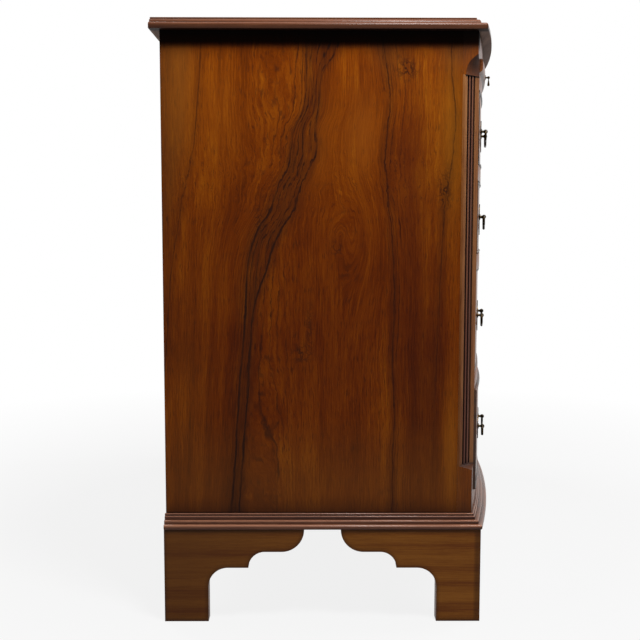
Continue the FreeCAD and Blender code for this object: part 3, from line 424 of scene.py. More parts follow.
def side_grid(tree, flat, depth, height, fork, outer):
    """Distance across the leaf on the bent grid, and on the one that has only strayed."""
    slow = stretched_noise(tree, flat, 90 * MM, 260 * MM)
    quick = stretched_noise(tree, flat, 9 * MM, 26 * MM, 3.0, 0.6)
    stray = add(tree, "Math", {0: slow, 1: 10 * MM, 2: -5 * MM}, operation="MULTIPLY_ADD")
    ragged = bell(tree, height, RAGGED_HEIGHT, RAGGED_SPREAD)
    ragged = add(tree, "Math", {0: ragged, 1: RAGGED, 2: SMOOTH}, operation="MULTIPLY_ADD")
    quick = add(tree, "Math", {0: quick, 1: 0.5}, operation="SUBTRACT")
    ragged = overlap(tree, quick, ragged)
    stray = add(tree, "Math", {0: stray, 1: ragged}, operation="ADD")
    strayed = add(tree, "Math", {0: depth, 1: stray}, operation="ADD")
    bent = strayed
    for line, home, spread in ((fork, FORK_HOME, FORK_SPREAD), (outer, OUTER_HOME, OUTER_SPREAD)):
        push = add(tree, "Math", {0: line, 1: home}, operation="SUBTRACT")
        push = overlap(tree, push, bell(tree, depth, line, spread))
        bent = add(tree, "Math", {0: bent, 1: push}, operation="SUBTRACT")
    beside = add(tree, "Math", {0: depth, 1: ARCH_DEPTH}, operation="SUBTRACT")
    rise = add(tree, "Math", {0: height, 1: ARCH_HEIGHT}, operation="SUBTRACT")
    rise = add(tree, "Math", {0: rise, 1: 0.0}, operation="MAXIMUM")
    rise = add(tree, "Math", {0: rise, 1: ARCH_STRETCH}, operation="MULTIPLY")
    arch = add(tree, "CombineXYZ", {0: beside, 2: rise})
    arch = add(tree, "VectorMath", {0: arch}, "Value", operation="LENGTH")
    near = overlap(tree, bell(tree, arch, 0.0, ARCH_SPREAD), bell(tree, height, 0.63, 0.10))
    arch = add(tree, "Math", {0: arch, 1: stray}, operation="ADD")
    return add(tree, "Mix", {0: near, 2: bent, 3: arch}), strayed


print("the fork is straightened at", FORK_HOME, "m behind the middle")

# %% Step two: stains in the wood, each a spot and its colour
STAINS = [((-0.172, 0.76, 0.022, 0.13, 0.40), "#8f5c14"),  # pale sapwood near the front
          ((-0.035, 0.77, 0.035, 0.06, 0.40), "#965212"),  # two golden flames
          ((0.190, 0.81, 0.030, 0.09, 0.22), "#94500f"),
          ((-0.125, 0.36, 0.035, 0.16, 0.45), "#3a1404"),  # a dark heart low at the front
          ((-0.112, 0.71, 0.030, 0.15, 0.52), "#4a1c05"),
          ((-0.148, 0.32, 0.007, 0.12, 0.35), "#3a1404"),  # a narrow dark streak beside it
          ((-0.020, 0.79, 0.026, 0.08, 0.25), "#4a1c05"),
          ((-0.080, 0.905, 0.030, 0.045, 0.50), "#3a200d"),  # smoke at the top
          ((-0.185, 0.905, 0.035, 0.035, 0.55), "#4a2c18"),
          ((0.085, 0.78, 0.034, 0.15, 0.18), "#3d1705"),  # and round the fork
          ((0.045, 0.75, 0.026, 0.07, 0.30), "#8a4a0c")]  # a light patch in front of it
GLOWS = [((0.248, 0.84, 0.026, 0.14, 0.55), "#62380a"),  # olive light along the back edge
         ((0.248, 0.38, 0.036, 0.15, 0.52), "#46300c"),
         ((-0.176, 0.28, 0.013, 0.11, 1.00), "#583a0a")]  # gold beside the flutes


def side_stains(tree, colour, across, depth, height, board):
    """Spots of stain, the olive board behind the board line, and glows."""
    for row, shade in STAINS:
        colour = stained(tree, colour, shade, spot(tree, across, height, row))
    beyond = add(tree, "Math", {0: across, 1: board}, operation="SUBTRACT")
    olive = add(tree, "MapRange", {0: beyond, 1: -2 * MM, 2: 25 * MM, 3: 0.0, 4: 0.55})
    colour = stained(tree, colour, "#47290d", olive)
    for row, shade in GLOWS:
        colour = stained(tree, colour, shade, spot(tree, depth, height, row), blend="ADD")
    return colour


print("stains:", len(STAINS), "glows:", len(GLOWS))

# %% And its painted shade and painted reflection, which change with height
SHADE_TOP = 0.88  # metres


def side_painted_light(tree, colour, height):
    """Painted light, each between two heights in metres."""
    # Painted shade darkens the lower half, less so near the floor.
    painted_falloff = add(tree, "MapRange", {0: height, 1: SHADE_TOP, 2: 0.44, 3: 0.0, 4: 0.60})
    less_near_floor = add(tree, "MapRange", {0: height, 1: 0.46, 2: 0.30, 3: 1.0, 4: 0.52})
    colour = stained(tree, colour, "#955400", painted_falloff, less_near_floor, blend="MULTIPLY")
    # A painted reflection of the pale floor makes the foot of the side paler, down to a dark
    # band of painted shade just above the moulding.
    painted_floor_reflection = add(tree, "MapRange", {0: height, 1: 0.33, 2: 0.22, 3: 0.0, 4: 0.35})
    colour = stained(tree, colour, "#5b3816", painted_floor_reflection)
    shade_at_moulding = add(tree, "MapRange", {0: height, 1: 0.205, 2: 0.178, 3: 0.0, 4: 0.30})
    return stained(tree, colour, "#1c0a04", shade_at_moulding)


# Painted shade darkens the side from this height down.
print("the side is worn from", SHADE_TOP, "m down")

# %% Step three: smoke and broken strands between the fork's two lines
STRANDS = 4.0  # how many dark strands there are across the strip
STRAND_GAPS = (5 * MM, 40 * MM)  # width and length of the stretches where one is seen


def fork_strip(tree, colour, flat, height, strayed, fork, fork_end):
    """Darken the strip between the fork's lines, most of all above its narrow stem."""
    share = add(tree, "Math", {0: add(tree, "Math", {0: fork, 1: strayed}, operation="SUBTRACT"),
                               1: add(tree, "Math", {0: fork, 1: fork_end}, operation="SUBTRACT")},
                operation="DIVIDE")
    weave = stretched_noise(tree, flat, 22 * MM, 70 * MM, 2.0)
    share = add(tree, "Math", {0: share, 1: -0.25}, operation="ADD")
    share = add(tree, "Math", {0: weave, 1: 0.5, 2: share}, operation="MULTIPLY_ADD")
    off_middle = apart(tree, share, 0.5)
    inside = add(tree, "MapRange", {0: off_middle, 1: 0.30, 2: 0.85, 3: 1.0, 4: 0.0},
                 interpolation_type="SMOOTHSTEP")
    upper = add(tree, "MapRange", {0: height, 1: 0.46, 2: 0.62})
    patches = stretched_noise(tree, flat, 14 * MM, 60 * MM, 2.0)
    patches = add(tree, "MapRange", {0: patches, 1: 0.36, 2: 0.58, 3: 0.35, 4: 1.0})
    smoke = add(tree, "Math", {0: upper, 1: 0.32, 2: 0.12}, operation="MULTIPLY_ADD")
    colour = stained(tree, colour, "#2c1406", inside, patches, smoke)
    strand = add(tree, "Math", {0: share, 1: STRANDS}, operation="MULTIPLY")
    strand = add(tree, "Math", {0: strand, 1: 0.5}, operation="PINGPONG")
    strand = add(tree, "MapRange", {0: strand, 1: 0.03, 2: 0.20, 3: 1.0, 4: 0.0},
                 interpolation_type="SMOOTHSTEP")
    broken = stretched_noise(tree, flat, *STRAND_GAPS, 2.0)
    broken = add(tree, "MapRange", {0: broken, 1: 0.42, 2: 0.56, 3: 0.1, 4: 1.0})
    within = add(tree, "MapRange", {0: off_middle, 1: 0.54, 2: 0.60, 3: 1.0, 4: 0.0})
    return stained(tree, colour, "#1a0a04", strand, upper, within, broken, 0.85)


print("strands are broken every", STRAND_GAPS[1] / MM, "mm or so")


# %% Step four: each dark line, thin and sharp in a soft haze
HAZE_REACH, HAZE_SHARE = 7, 0.35  # the haze is this many times as wide, and this dark


def dark_line(tree, colour, height, strayed, line, width, strength):
    """One line, this wide to each side, which fades here and there along its way."""
    gap = apart(tree, strayed, line)
    thin = add(tree, "MapRange", {0: gap, 1: 0.0, 2: width, 3: 1.0, 4: 0.0},
               interpolation_type="SMOOTHSTEP")
    haze = add(tree, "MapRange", {0: gap, 1: 0.0, 2: HAZE_REACH * width, 3: HAZE_SHARE, 4: 0.0},
               interpolation_type="SMOOTHSTEP")
    along = add(tree, "CombineXYZ", {0: line, 2: height})
    fade = stretched_noise(tree, along, 20 * MM, 50 * MM)
    fade = add(tree, "MapRange", {0: fade, 1: 0.35, 2: 0.55, 3: 0.7, 4: 1.0})
    dark = add(tree, "Math", {0: thin, 1: haze}, operation="MAXIMUM")
    return stained(tree, colour, "#1d0a04", dark, fade, strength)


def side_lines(tree, colour, height, strayed, fork, fork_end, outer, board):
    """The fork's two lines, clearest low down, and the three that stand apart."""
    clear_below = add(tree, "MapRange", {0: height, 1: 0.67, 2: 0.78, 3: 1.0, 4: 0.55})
    clear_above = add(tree, "MapRange", {0: height, 1: 0.30, 2: 0.50, 3: 0.15, 4: 0.75})
    post_line = line_place(tree, height, POST_LINE)
    for line, width, strength in ((fork, 3.8 * MM, clear_below), (fork_end, 3.2 * MM, clear_below),
                                  (outer, 2.2 * MM, 0.85), (post_line, 2.0 * MM, clear_above),
                                  (board, 2.0 * MM, 0.70)):
        colour = dark_line(tree, colour, height, strayed, line, width, strength)
    return colour


print("a line's haze is", HAZE_REACH, "times as wide as the line")

# %% Step five: small knots, where the fibres swirl
KNOTS = [(-0.101, 0.872, 0.015, 0.016, 1.00), (-0.068, 0.845, 0.008, 0.008, 0.60),
         (0.006, 0.597, 0.010, 0.014, 0.75), (-0.160, 0.685, 0.010, 0.030, 0.95),
         (0.064, 0.430, 0.013, 0.014, 1.00), (0.050, 0.470, 0.006, 0.050, 0.60),
         (0.128, 0.640, 0.008, 0.030, 0.70)]


def side_knots(tree, colour, flat, depth, height):
    """Thin curls, where a noise crosses its middle value, shown in each knot's spot."""
    swirl = stretched_noise(tree, flat, 11 * MM, 14 * MM, 3.0)
    swirl = add(tree, "MapRange", {0: apart(tree, swirl, 0.5), 1: 0.0, 2: 0.07, 3: 1.0, 4: 0.15},
                interpolation_type="SMOOTHSTEP")
    for row in KNOTS:
        colour = stained(tree, colour, "#240d04", swirl, spot(tree, depth, height, row))
    return colour


print("knots:", len(KNOTS))

# %% [markdown]
# ## The fluted corner posts
# The veneer runs on over the corner posts, but their canted and fluted faces are solid
# walnut. The flutes are told from the ribs by how far out a spot lies along the diagonal,
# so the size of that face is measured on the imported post. Dirt and old polish lie in the
# flutes, dark and matt. Both posts mirror each other, so Absolute serves them both.

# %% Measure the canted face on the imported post
FLUTES_FROM_FOOT, FLUTES_FROM_HEAD = 99 * MM, 66 * MM  # plain wood below and above the flutes

post_low, post_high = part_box("corner_post_left")
flutes_low, flutes_high = post_low.z + FLUTES_FROM_FOOT, post_high.z - FLUTES_FROM_HEAD
post = nodes["corner_post_left"]
corners = [post.matrix_world @ corner.co for corner in post.data.vertices]
spots = [(-(corner.x + corner.y) * math.sqrt(0.5), corner.y - corner.x) for corner in corners
         if flutes_low + MM < corner.z < flutes_high - MM]
cant_face = max(out for out, beside in spots)
on_face = [beside for out, beside in spots if out > cant_face - 0.1 * MM]
face_first, face_last = min(on_face), max(on_face)
print("the fluted face lies", round(cant_face, 4), "m out along the diagonal")

# %% Solid wood at the height of the flutes, with dark hollows
FLUTED_WALNUT = ("#4b240c", "#6d4220", "#83562f")
RIBS_HALF = 12 * MM  # the ribs and hollows take up twice this much
GRIMY_FROM, GRIMY_FULL = 0.15 * MM, 0.6 * MM  # how deep the flutes start to be dark, and are


def fluted_face(tree, colour, place, height):
    """Straight wood at the height of the flutes: (colour, how matt and dark its hollows are)."""
    straight, _, _ = wood_colour(tree, grain_place(tree, "Z"), FLUTED_WALNUT)
    folded = add(tree, "VectorMath", {0: place}, operation="ABSOLUTE")
    diagonal = (math.sqrt(0.5), math.sqrt(0.5), 0)
    out = add(tree, "VectorMath", {0: folded, 1: diagonal}, "Value", operation="DOT_PRODUCT")
    beside = add(tree, "VectorMath", {0: folded, 1: (1, -1, 0)}, "Value", operation="DOT_PRODUCT")
    middle, half = (face_first + face_last) / 2, (face_last - face_first) / 2
    depths = add(tree, "MapRange", {0: out, 1: cant_face - GRIMY_FULL,
                                    2: cant_face - GRIMY_FROM, 3: 0.95, 4: 0.0})
    on_cant = add(tree, "Math", {0: beside, 1: middle, 2: half - MM}, operation="COMPARE")
    depths = overlap(tree, depths, on_cant)
    # Painted reflection: the ribs and hollows are greyed where a soft sheen would show.
    rib_sheen = add(tree, "Math", {0: beside, 1: middle, 2: RIBS_HALF}, operation="COMPARE")
    straight = stained(tree, straight, "#4f2d28", rib_sheen, 0.55)
    straight = stained(tree, straight, "#1c0502", depths)
    away = apart(tree, height, (flutes_low + flutes_high) / 2)
    within = add(tree, "Math", {0: away, 1: (flutes_high - flutes_low) / 2},
                 operation="LESS_THAN")
    colour = add(tree, "Mix", {0: within, 6: colour, 7: straight}, 2, data_type="RGBA")
    # Painted shade on the lamb's tongue, the stop and other faces above and below the flutes.
    turned = add(tree, "Math", {0: sideways(tree), 1: 0.97}, operation="LESS_THAN")
    cant_ends_shade = add(tree, "Math", {0: turned, 1: within}, operation="SUBTRACT")
    cant_ends_shade = add(tree, "MapRange", {0: cant_ends_shade, 3: 0.0, 4: 0.6})
    colour = stained(tree, colour, "#2b1b12", cant_ends_shade)
    return colour, overlap(tree, depths, within)


print("flutes from", round(flutes_low, 3), "to", round(flutes_high, 3), "m")

# %% Step six: put the side together, paint shade under the top, close with old french polish
POLISH_ROUGHNESS, MATT_ROUGHNESS = 0.30, 0.95
SHADOW_FROM, SHADOW_FULL = 30 * MM, 16 * MM  # the dark band under the top, below the side's head
CROWDS, CROWD_ELSEWHERE = ((0.105, 0.030), (-0.085, 0.028)), 0.12  # where dark threads gather
_, side_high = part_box("side_left")


def side_veneer(name, specular, fluted=False):
    """The side's leaf of walnut. On the corner posts it has solid fluted wood let into it."""
    made, tree = new_finish(name)
    place = add(tree, "TexCoord", output="Object")
    parts = add(tree, "SeparateXYZ", {0: place}).node.outputs
    depth, height = parts["Y"], parts["Z"]
    flat = add(tree, "CombineXYZ", {0: depth, 2: height})
    fork, fork_end, outer, board = (line_place(tree, height, path) for path in
                                    (FORK_LEFT, FORK_RIGHT, OUTER_LINE, BOARD_LINE))
    across, strayed = side_grid(tree, flat, depth, height, fork, outer)
    by_fork, by_outer = (bell(tree, across, middle, spread) for middle, spread in CROWDS)
    crowd = add(tree, "Math", {0: by_fork, 1: by_outer}, operation="ADD")
    crowd = add(tree, "Math", {0: crowd, 1: CROWD_ELSEWHERE}, operation="ADD")
    colour, relief = veneer(tree, across, height, crowd, SIDE_STOPS)
    colour = side_stains(tree, colour, across, depth, height, board)
    colour = side_painted_light(tree, colour, height)
    colour = fork_strip(tree, colour, flat, height, strayed, fork, fork_end)
    colour = side_lines(tree, colour, height, strayed, fork, fork_end, outer, board)
    colour = side_knots(tree, colour, flat, depth, height)
    hollow = 0.0
    if fluted:
        colour, hollow = fluted_face(tree, colour, place, height)
    # Painted shade where the side sees little open sky, most of all under the top's overhang.
    colour = grimed_and_shaded(tree, colour, 30 * MM, 0.97, 0.62, 0.98)
    shadow = add(tree, "MapRange", {0: height, 1: side_high.z - SHADOW_FROM,
                                    2: side_high.z - SHADOW_FULL, 3: 0.0, 4: 0.95},
                 interpolation_type="SMOOTHSTEP")
    colour = stained(tree, colour, "#050201", shadow)
    matt = add(tree, "Math", {0: shadow, 1: hollow}, operation="MAXIMUM")
    roughness = add(tree, "MapRange", {0: matt, 3: POLISH_ROUGHNESS, 4: MATT_ROUGHNESS})
    surface(tree, colour, relief, roughness, specular, POLISHED_RELIEF)
    return made


walnut_side = side_veneer("figured_walnut_side_veneer", 0.06)
walnut_posts = side_veneer("figured_walnut_corner_posts", 0.09, fluted=True)
print("side veneer:", len(walnut_side.node_tree.nodes), "nodes")

# %% [markdown]
# ## Veneer for the drawer fronts and the top
# The drawer fronts carry leaves from one flitch, opened like a book at the middle of the
# chest, so the figure on the right mirrors the left. Taking the size of X, whatever its
# sign, does that. The top has its grain along its length. Both use the same bent grid,
# with a few clusters of dark lines placed by a slow noise in place of listed curves.

# %% A figure with no curves of its own, and the book-matched drawer fronts
DRAWER_START, TOP_START = 0.35, 1.30  # where in the endless figure each leaf is cut
VENEER_SPECULAR = 0.12


def free_figure(tree, across, along):
    """Veneer on a grid that two noises bend: (colour, height)."""
    flat = add(tree, "CombineXYZ", {0: across, 2: along})
    slow = stretched_noise(tree, flat, 120 * MM, 330 * MM, 1.0)
    quick = stretched_noise(tree, flat, 12 * MM, 40 * MM, 3.0, 0.6)
    bent = add(tree, "Math", {0: slow, 1: 150 * MM, 2: across}, operation="MULTIPLY_ADD")
    bent = add(tree, "Math", {0: quick, 1: 5 * MM, 2: bent}, operation="MULTIPLY_ADD")
    crowd = add(tree, "CombineXYZ", {0: bent, 1: 3.0, 2: along})
    crowd = stretched_noise(tree, crowd, 75 * MM, 900 * MM, 1.0)
    crowd = add(tree, "MapRange", {0: crowd, 1: 0.50, 2: 0.70, 3: 0.10, 4: 1.0})
    return veneer(tree, bent, along, crowd, FRONT_STOPS)


def drawer_veneer():
    """Upright leaves that mirror at the middle, with dark end grain where they stop, darkened
    further by painted shade.
    """
    made, tree = new_finish("figured_walnut_drawer_veneer")
    place = add(tree, "SeparateXYZ", {0: add(tree, "TexCoord", output="Object")}).node.outputs
    across = add(tree, "Math", {0: place["X"]}, operation="ABSOLUTE")
    across = add(tree, "Math", {0: across, 1: DRAWER_START}, operation="ADD")
    colour, height = free_figure(tree, across, place["Z"])
    # Dark end grain on faces that look sideways, darkened further as painted shade.
    end = add(tree, "Math", {0: sideways(tree), 1: 0.95}, operation="GREATER_THAN")
    colour = stained(tree, colour, "#1d110a", end)
    surface(tree, colour, height, POLISH_ROUGHNESS, VENEER_SPECULAR, POLISHED_RELIEF)
    return made


walnut_fronts = drawer_veneer()
print("fronts:", walnut_fronts.name)

# %% [markdown]
# ## The top board
# The top is veneered only on its upper face. Its moulded edge is solid walnut, with the
# grain along each side, darker in its hollows by dirt and painted shade, paler on its
# shoulders by a painted highlight, and darker towards its lower side by painted shade.
# Underneath it was never polished, and painted shade darkens the strip that overhangs the sides.

# %% The veneered top, with its solid edge and its raw underside
# Polished above, so it mirrors softly. Raw beneath, so it looks grey-brown, dull and rough.
EDGE_WALNUT = ("#3a1d0e", "#4b2916", "#5d3722")
RAW_WALNUT = ("#6a5347", "#7f6658", "#92796a")
VENEER_LINE = 949.4 * MM  # the veneer ends just under the upper face
SIDE_PLANE = 560 * MM  # half the width over the sides
top_low, top_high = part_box("top")


def top_edge(tree, height, ends):
    """The solid edge, and the unpolished wood under it: two colours."""
    grain = add(tree, "Mix", {0: ends, 4: grain_place(tree, "X"), 5: grain_place(tree, "Y")}, 1,
                data_type="VECTOR")
    solid, _, _ = wood_colour(tree, grain, EDGE_WALNUT)
    # Painted highlight on upward slopes, then dirt and painted shade in the hollows.
    solid = painted_highlight(tree, solid, 0.12, "#7d5242")
    solid = grimed_and_shaded(tree, solid, MOULDING_HOLLOW, 0.8)
    # Painted shade: the edge darkens towards its lower side.
    foot = add(tree, "MapRange", {0: height, 1: top_low.z, 2: top_low.z + 8 * MM,
                                  3: 0.75, 4: 0.0})
    solid = stained(tree, solid, "#1c0b05", foot)
    raw, _, _ = wood_colour(tree, grain, RAW_WALNUT)
    return solid, raw


def top_veneer():
    """Long-grained veneer above, solid wood round the edge, and raw wood beneath."""
    made, tree = new_finish("figured_walnut_top_veneer")
    place = add(tree, "SeparateXYZ", {0: add(tree, "TexCoord", output="Object")}).node.outputs
    across = add(tree, "Math", {0: place["Y"], 1: TOP_START}, operation="ADD")
    colour, relief = free_figure(tree, across, place["X"])
    ends = add(tree, "Math", {0: sideways(tree), 1: 0.4}, operation="GREATER_THAN")
    solid, raw = top_edge(tree, place["Z"], ends)
    edge = add(tree, "Math", {0: place["Z"], 1: VENEER_LINE}, operation="LESS_THAN")
    colour = add(tree, "Mix", {0: edge, 6: colour, 7: solid}, 2, data_type="RGBA")
    relief = add(tree, "Mix", {0: edge, 2: relief, 3: 0.5})
    # Painted shade on the underside, darkest where it overhangs the sides.
    overhang_shade = add(tree, "Math", {0: place["X"]}, operation="ABSOLUTE")
    overhang_shade = add(tree, "MapRange", {0: overhang_shade, 1: SIDE_PLANE - 12 * MM, 2: SIDE_PLANE,
                                     3: 0.0, 4: 1.0})
    raw = stained(tree, raw, "#2b170d", overhang_shade)
    up = add(tree, "SeparateXYZ", {0: add(tree, "NewGeometry", output="True Normal")}, "Z")
    below = add(tree, "Math", {0: up, 1: -0.95}, operation="LESS_THAN")
    colour = add(tree, "Mix", {0: below, 6: colour, 7: raw}, 2, data_type="RGBA")
    roughness = add(tree, "MapRange", {0: below, 3: 0.32, 4: 0.6})
    surface(tree, colour, relief, roughness, VENEER_SPECULAR, POLISHED_RELIEF)
    return made


walnut_top = top_veneer()
print("top:", walnut_top.name, "from", round(top_low.z, 3), "to", round(top_high.z, 3), "m")

# %% [markdown]
# ## Bracket feet
# Each foot is two brackets mitred at the corner, so its grain lies level along each face:
# along X on the front and along Y on the side. Which way a face looks picks the grain. The
# feet are browner than the rest, dark along their sawn edges, darker in their hollows by
# dirt and painted shade, and darker towards the back by painted shade.

# %% The brackets' walnut
FOOT_WALNUT = ("#5c2f0c", "#6d3f12", "#7a4a18")
FOOT_WANDER = 4 * MM


def foot_wood():
    """Walnut with its grain level along both faces of a bracket foot."""
    made, tree = new_finish("polished_brown_walnut_brackets")
    on_side = add(tree, "Math", {0: sideways(tree), 1: 0.7}, operation="GREATER_THAN")
    front, front_height, _ = wood_colour(
        tree, grain_place(tree, "X", (0.3, 0.0, 0.0), FOOT_WANDER), FOOT_WALNUT, 0.35)
    side, side_height, _ = wood_colour(
        tree, grain_place(tree, "Y", (0.0, 0.7, 0.0), FOOT_WANDER), FOOT_WALNUT, 0.35)
    colour = add(tree, "Mix", {0: on_side, 6: front, 7: side}, 2, data_type="RGBA")
    # Dirt and painted shade in the hollows, such as under the moulding.
    colour = grimed_and_shaded(tree, colour, 9 * MM, 0.6)
    # Painted shade: darker towards the back.
    depth = add(tree, "SeparateXYZ", {0: add(tree, "TexCoord", output="Object")}, "Y")
    behind = add(tree, "MapRange", {0: depth, 1: -0.1, 2: 0.25, 3: 0.0, 4: 0.5})
    colour = stained(tree, colour, "#35190a", behind)
    colour = dark_edges(tree, colour, 8 * MM, 0.5)
    height = add(tree, "Mix", {0: on_side, 2: front_height, 3: side_height})
    surface(tree, colour, height, 0.38, 0.1)
    return made


feet = foot_wood()
print("feet:", feet.name)

# %% [markdown]
# ## Dark old brass
# The handles are cast brass that nobody has polished for years. The lacquer has worn off and
# the metal has gone brown-black, with a little yellow left where fingers rub. It is still a
# metal, so it is fully metallic, keeps the default index, and gets its darkness from its colour.

# %% Aged brass
BLOTCH, GRIT = 9 * MM, 1.1 * MM  # size of the tarnish's blotches and of the casting's grit


def aged_brass():
    """Blotchy tarnish that is smoother where hands touch it, over a gritty casting."""
    made, tree = new_finish("aged_cast_brass")
    place = add(tree, "TexCoord", output="Object")
    blotch = add(tree, "TexNoise", {"Vector": place, "Scale": 1 / BLOTCH, "Detail": 4.0,
                                    "Roughness": 0.6})
    colour = add(tree, "ValToRGB", {0: blotch},
                 stops=[(0.36, "#17120b"), (0.54, "#2a2012"), (0.76, "#5a4422")])
    rough = add(tree, "MapRange", {0: blotch, 1: 0.3, 2: 0.7, 3: 0.52, 4: 0.32})
    grit = add(tree, "TexNoise", {"Vector": place, "Scale": 1 / GRIT})
    bump = add(tree, "Bump", {"Height": grit, "Strength": 0.3, "Distance": 0.08 * MM})
    shader = add(tree, "BsdfPrincipled", {"Base Color": colour, "Metallic": 1.0,
                                          "Roughness": rough, "Normal": bump})
    add(tree, "OutputMaterial", {"Surface": shader})
    return made


brass = aged_brass()
print("brass:", brass.name)

# %% [markdown]
# ## Rails faced with walnut
# The rails between the drawers are oak, with a thin facing of walnut glued round their bowed
# front, its grain upright. The front is a piece of one large circle, so how far a spot is
# from that circle's axis says whether it is facing or oak.

# %% Oak rails with a walnut facing
RAIL_HALF, RAIL_END = 534 * MM, -216.1 * MM  # half a rail's length, and where its bow ends
FACING = 3 * MM


def faced_oak():
    """Oak, and walnut within the facing's thickness of the bowed front."""
    made, tree = new_finish("oak_rail_faced_with_walnut")
    rail_low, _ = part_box("drawer_dividers")
    rise = RAIL_END - rail_low.y
    radius = (RAIL_HALF ** 2 + rise ** 2) / (2 * rise)
    place = add(tree, "TexCoord", output="Object")
    place = add(tree, "VectorMath", {0: place, 1: (0.0, rail_low.y + radius, 0.0)},
                operation="SUBTRACT")
    place = add(tree, "VectorMath", {0: place, 1: (1.0, 1.0, 0.0)}, operation="MULTIPLY")
    away = add(tree, "VectorMath", {0: place}, "Value", operation="LENGTH")
    facing = add(tree, "Math", {0: away, 1: radius - FACING}, operation="GREATER_THAN")
    inside, inside_height, _ = wood_colour(tree, grain_place(tree, "X"), OAK)
    outside, outside_height, _ = wood_colour(tree, grain_place(tree, "Z"), RED_WALNUT)
    colour = add(tree, "Mix", {0: facing, 6: inside, 7: outside}, 2, data_type="RGBA")
    height = add(tree, "Mix", {0: facing, 2: inside_height, 3: outside_height})
    roughness = add(tree, "MapRange", {0: facing, 3: 0.6, 4: 0.34})
    surface(tree, colour, height, roughness, 0.15)
    print("the rails' front is part of a circle of", round(radius, 3), "m")
    return made


rail_wood = faced_oak()

# %% [markdown]
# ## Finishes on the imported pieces
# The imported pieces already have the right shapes, so each only gets a material. No edge made
# by hand is knife sharp, and a sharp edge catches no light, so every wooden and brass piece
# also gets a Weld and a fine Bevel modifier. The Weld joins the loose triangles first.

# %% A finish for every node
FINISHES = {
    "top": walnut_top, "side_left": walnut_side, "side_right": walnut_side,
    "corner_post_left": walnut_posts, "corner_post_right": walnut_posts,
    "back_panel": pine["Z"], "bottom_board": pine["X"], "dust_boards": pine["X"],
    "frieze_rail": red_walnut["Z"], "bottom_rail": red_walnut["Z"], "drawer_dividers": rail_wood,
    "drawer_runners": oak["Y"], "base_moulding_front": moulding["X"],
    "base_moulding_left": moulding["Y"], "base_moulding_right": moulding["Y"],
    "front_foot_left": feet, "front_foot_right": feet,
    "rear_foot_left": feet, "rear_foot_right": feet,
    "slide_board": oak["X"], "slide_lip": red_walnut["X"], "slide_pull_posts": brass,
    "slide_drop_left": brass, "slide_drop_right": brass,
}
DRAWERS = 4
for number in range(1, DRAWERS + 1):
    drawer = f"drawer_{number}_"
    FINISHES.update({
        drawer + "front": walnut_fronts, drawer + "cockbead": dark_bead,
        drawer + "sides": oak["Y"], drawer + "back": oak["X"], drawer + "bottom": oak["X"],
        drawer + "handle_mounts": brass, drawer + "lock": brass,
        drawer + "bail_left": brass, drawer + "bail_right": brass,
    })
print("finishes for", len(FINISHES), "of", len(nodes), "nodes")

# %% Lay the finishes on, and ease the edges
EASE, FINE_EASE = 0.6 * MM, 0.25 * MM  # how much is taken off an edge
SHARP = math.radians(32)  # an edge turns by at least this much
WELD = 0.002 * MM

for node_name, material in FINISHES.items():
    piece = nodes[node_name]
    piece.data.materials.clear()
    piece.data.materials.append(material)
    weld = piece.modifiers.new("weld", "WELD")
    weld.merge_threshold = WELD
    bevel = piece.modifiers.new("eased_edges", "BEVEL")
    bevel.width = FINE_EASE if material in (brass, walnut_side, walnut_posts) else EASE
    bevel.segments = 2
    bevel.limit_method = "ANGLE"
    bevel.angle_limit = SHARP
    bevel.harden_normals = True
print("edges eased on", len(FINISHES), "nodes")

# %% [markdown]
# ## Floor, sky and lamps
# The chest stands on a plain pale floor under a plain sky. Both show nearly white to the eye
# and in reflections, but hardly light the chest: Light Path tells them which kind of ray has
# arrived. Three soft square lamps light the wood from above. The small one on the left is
# so near that its light falls off down the side, as it does under a studio ceiling.

# %% The floor and the sky
FLOOR_HALF = 6.0
LIT_SHARE = 0.28  # grey of the matt floor that keeps the shadow
NEAR, FAR = 0.6, 1.8  # metres from the middle of the chest
NEAR_PLAIN, FAR_PLAIN = 0.86, 1.0  # how much of the floor is plain white, near and far
SKY_LIGHT = 0.06  # how strongly the sky lights the chest
WHITE = (1.0, 1.0, 1.0, 1.0)


def seen(tree):
    """1 for a ray from the eye, a reflection or glass, and 0 for one that lights the chest."""
    path = add(tree, "LightPath").node.outputs
    result = add(tree, "Math", {0: path["Is Camera Ray"], 1: path["Is Glossy Ray"]},
                 operation="MAXIMUM")
    return add(tree, "Math", {0: result, 1: path["Is Transmission Ray"]}, operation="MAXIMUM")


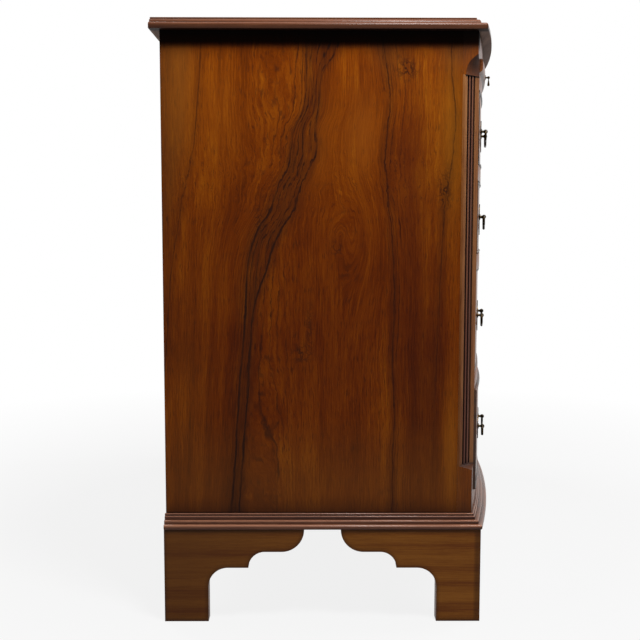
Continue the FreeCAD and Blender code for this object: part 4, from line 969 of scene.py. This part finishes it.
pale_floor, tree = new_finish("matt_pale_floor")
away = add(tree, "TexCoord", output="Object")
away = add(tree, "VectorMath", {0: away}, "Value", operation="LENGTH")
plain_share = add(tree, "MapRange", {0: away, 1: NEAR, 2: FAR, 3: NEAR_PLAIN, 4: FAR_PLAIN})
matt = add(tree, "BsdfDiffuse", {"Color": (LIT_SHARE, LIT_SHARE, LIT_SHARE, 1.0)})
plain = add(tree, "Emission", {"Color": WHITE})
both = add(tree, "MixShader", {0: overlap(tree, seen(tree), plain_share), 1: matt, 2: plain})
add(tree, "OutputMaterial", {"Surface": both})

sheet = bmesh.new()
bmesh.ops.create_grid(sheet, x_segments=1, y_segments=1, size=FLOOR_HALF)
floor_mesh = bpy.data.meshes.new("floor")
sheet.to_mesh(floor_mesh)
sheet.free()
floor_mesh.materials.append(pale_floor)
floor = bpy.data.objects.new("floor", floor_mesh)
scene.collection.objects.link(floor)
print("floor", 2 * FLOOR_HALF, "m across")

# %% The sky
world = bpy.data.worlds.new("studio")
scene.world = world
world.use_nodes = True
sky = world.node_tree
sky.nodes.clear()
strength = add(sky, "MapRange", {0: seen(sky), 3: SKY_LIGHT})
add(sky, "OutputWorld", {"Surface": add(sky, "Background", {"Color": WHITE,
                                                            "Strength": strength})})
print("the sky lights the chest at a strength of", SKY_LIGHT)

# %% Three soft lamps, each with its place, its target, its size in metres and its watts
LAMPS = {"left_lamp": ((-1.20, -0.38, 2.15), (-0.62, 0.0, 0.45), 0.45, 65),
         "front_lamp": ((0.5, -2.0, 2.3), (0, -0.2, 0.5), 1.0, 60),
         "back_lamp": ((1.4, 1.6, 2.2), (0.2, 0.2, 0.5), 1.0, 55)}
for name, (place, target, size, watts) in LAMPS.items():
    light = bpy.data.lights.new(name, "AREA")
    light.shape = "SQUARE"
    light.size = size
    light.energy = watts
    lamp = bpy.data.objects.new(name, light)
    scene.collection.objects.link(lamp)
    lamp.location = place
    aim = Vector(target) - Vector(place)
    lamp.rotation_euler = aim.to_track_quat("-Z", "Y").to_euler()
print("lamps:", len(LAMPS))
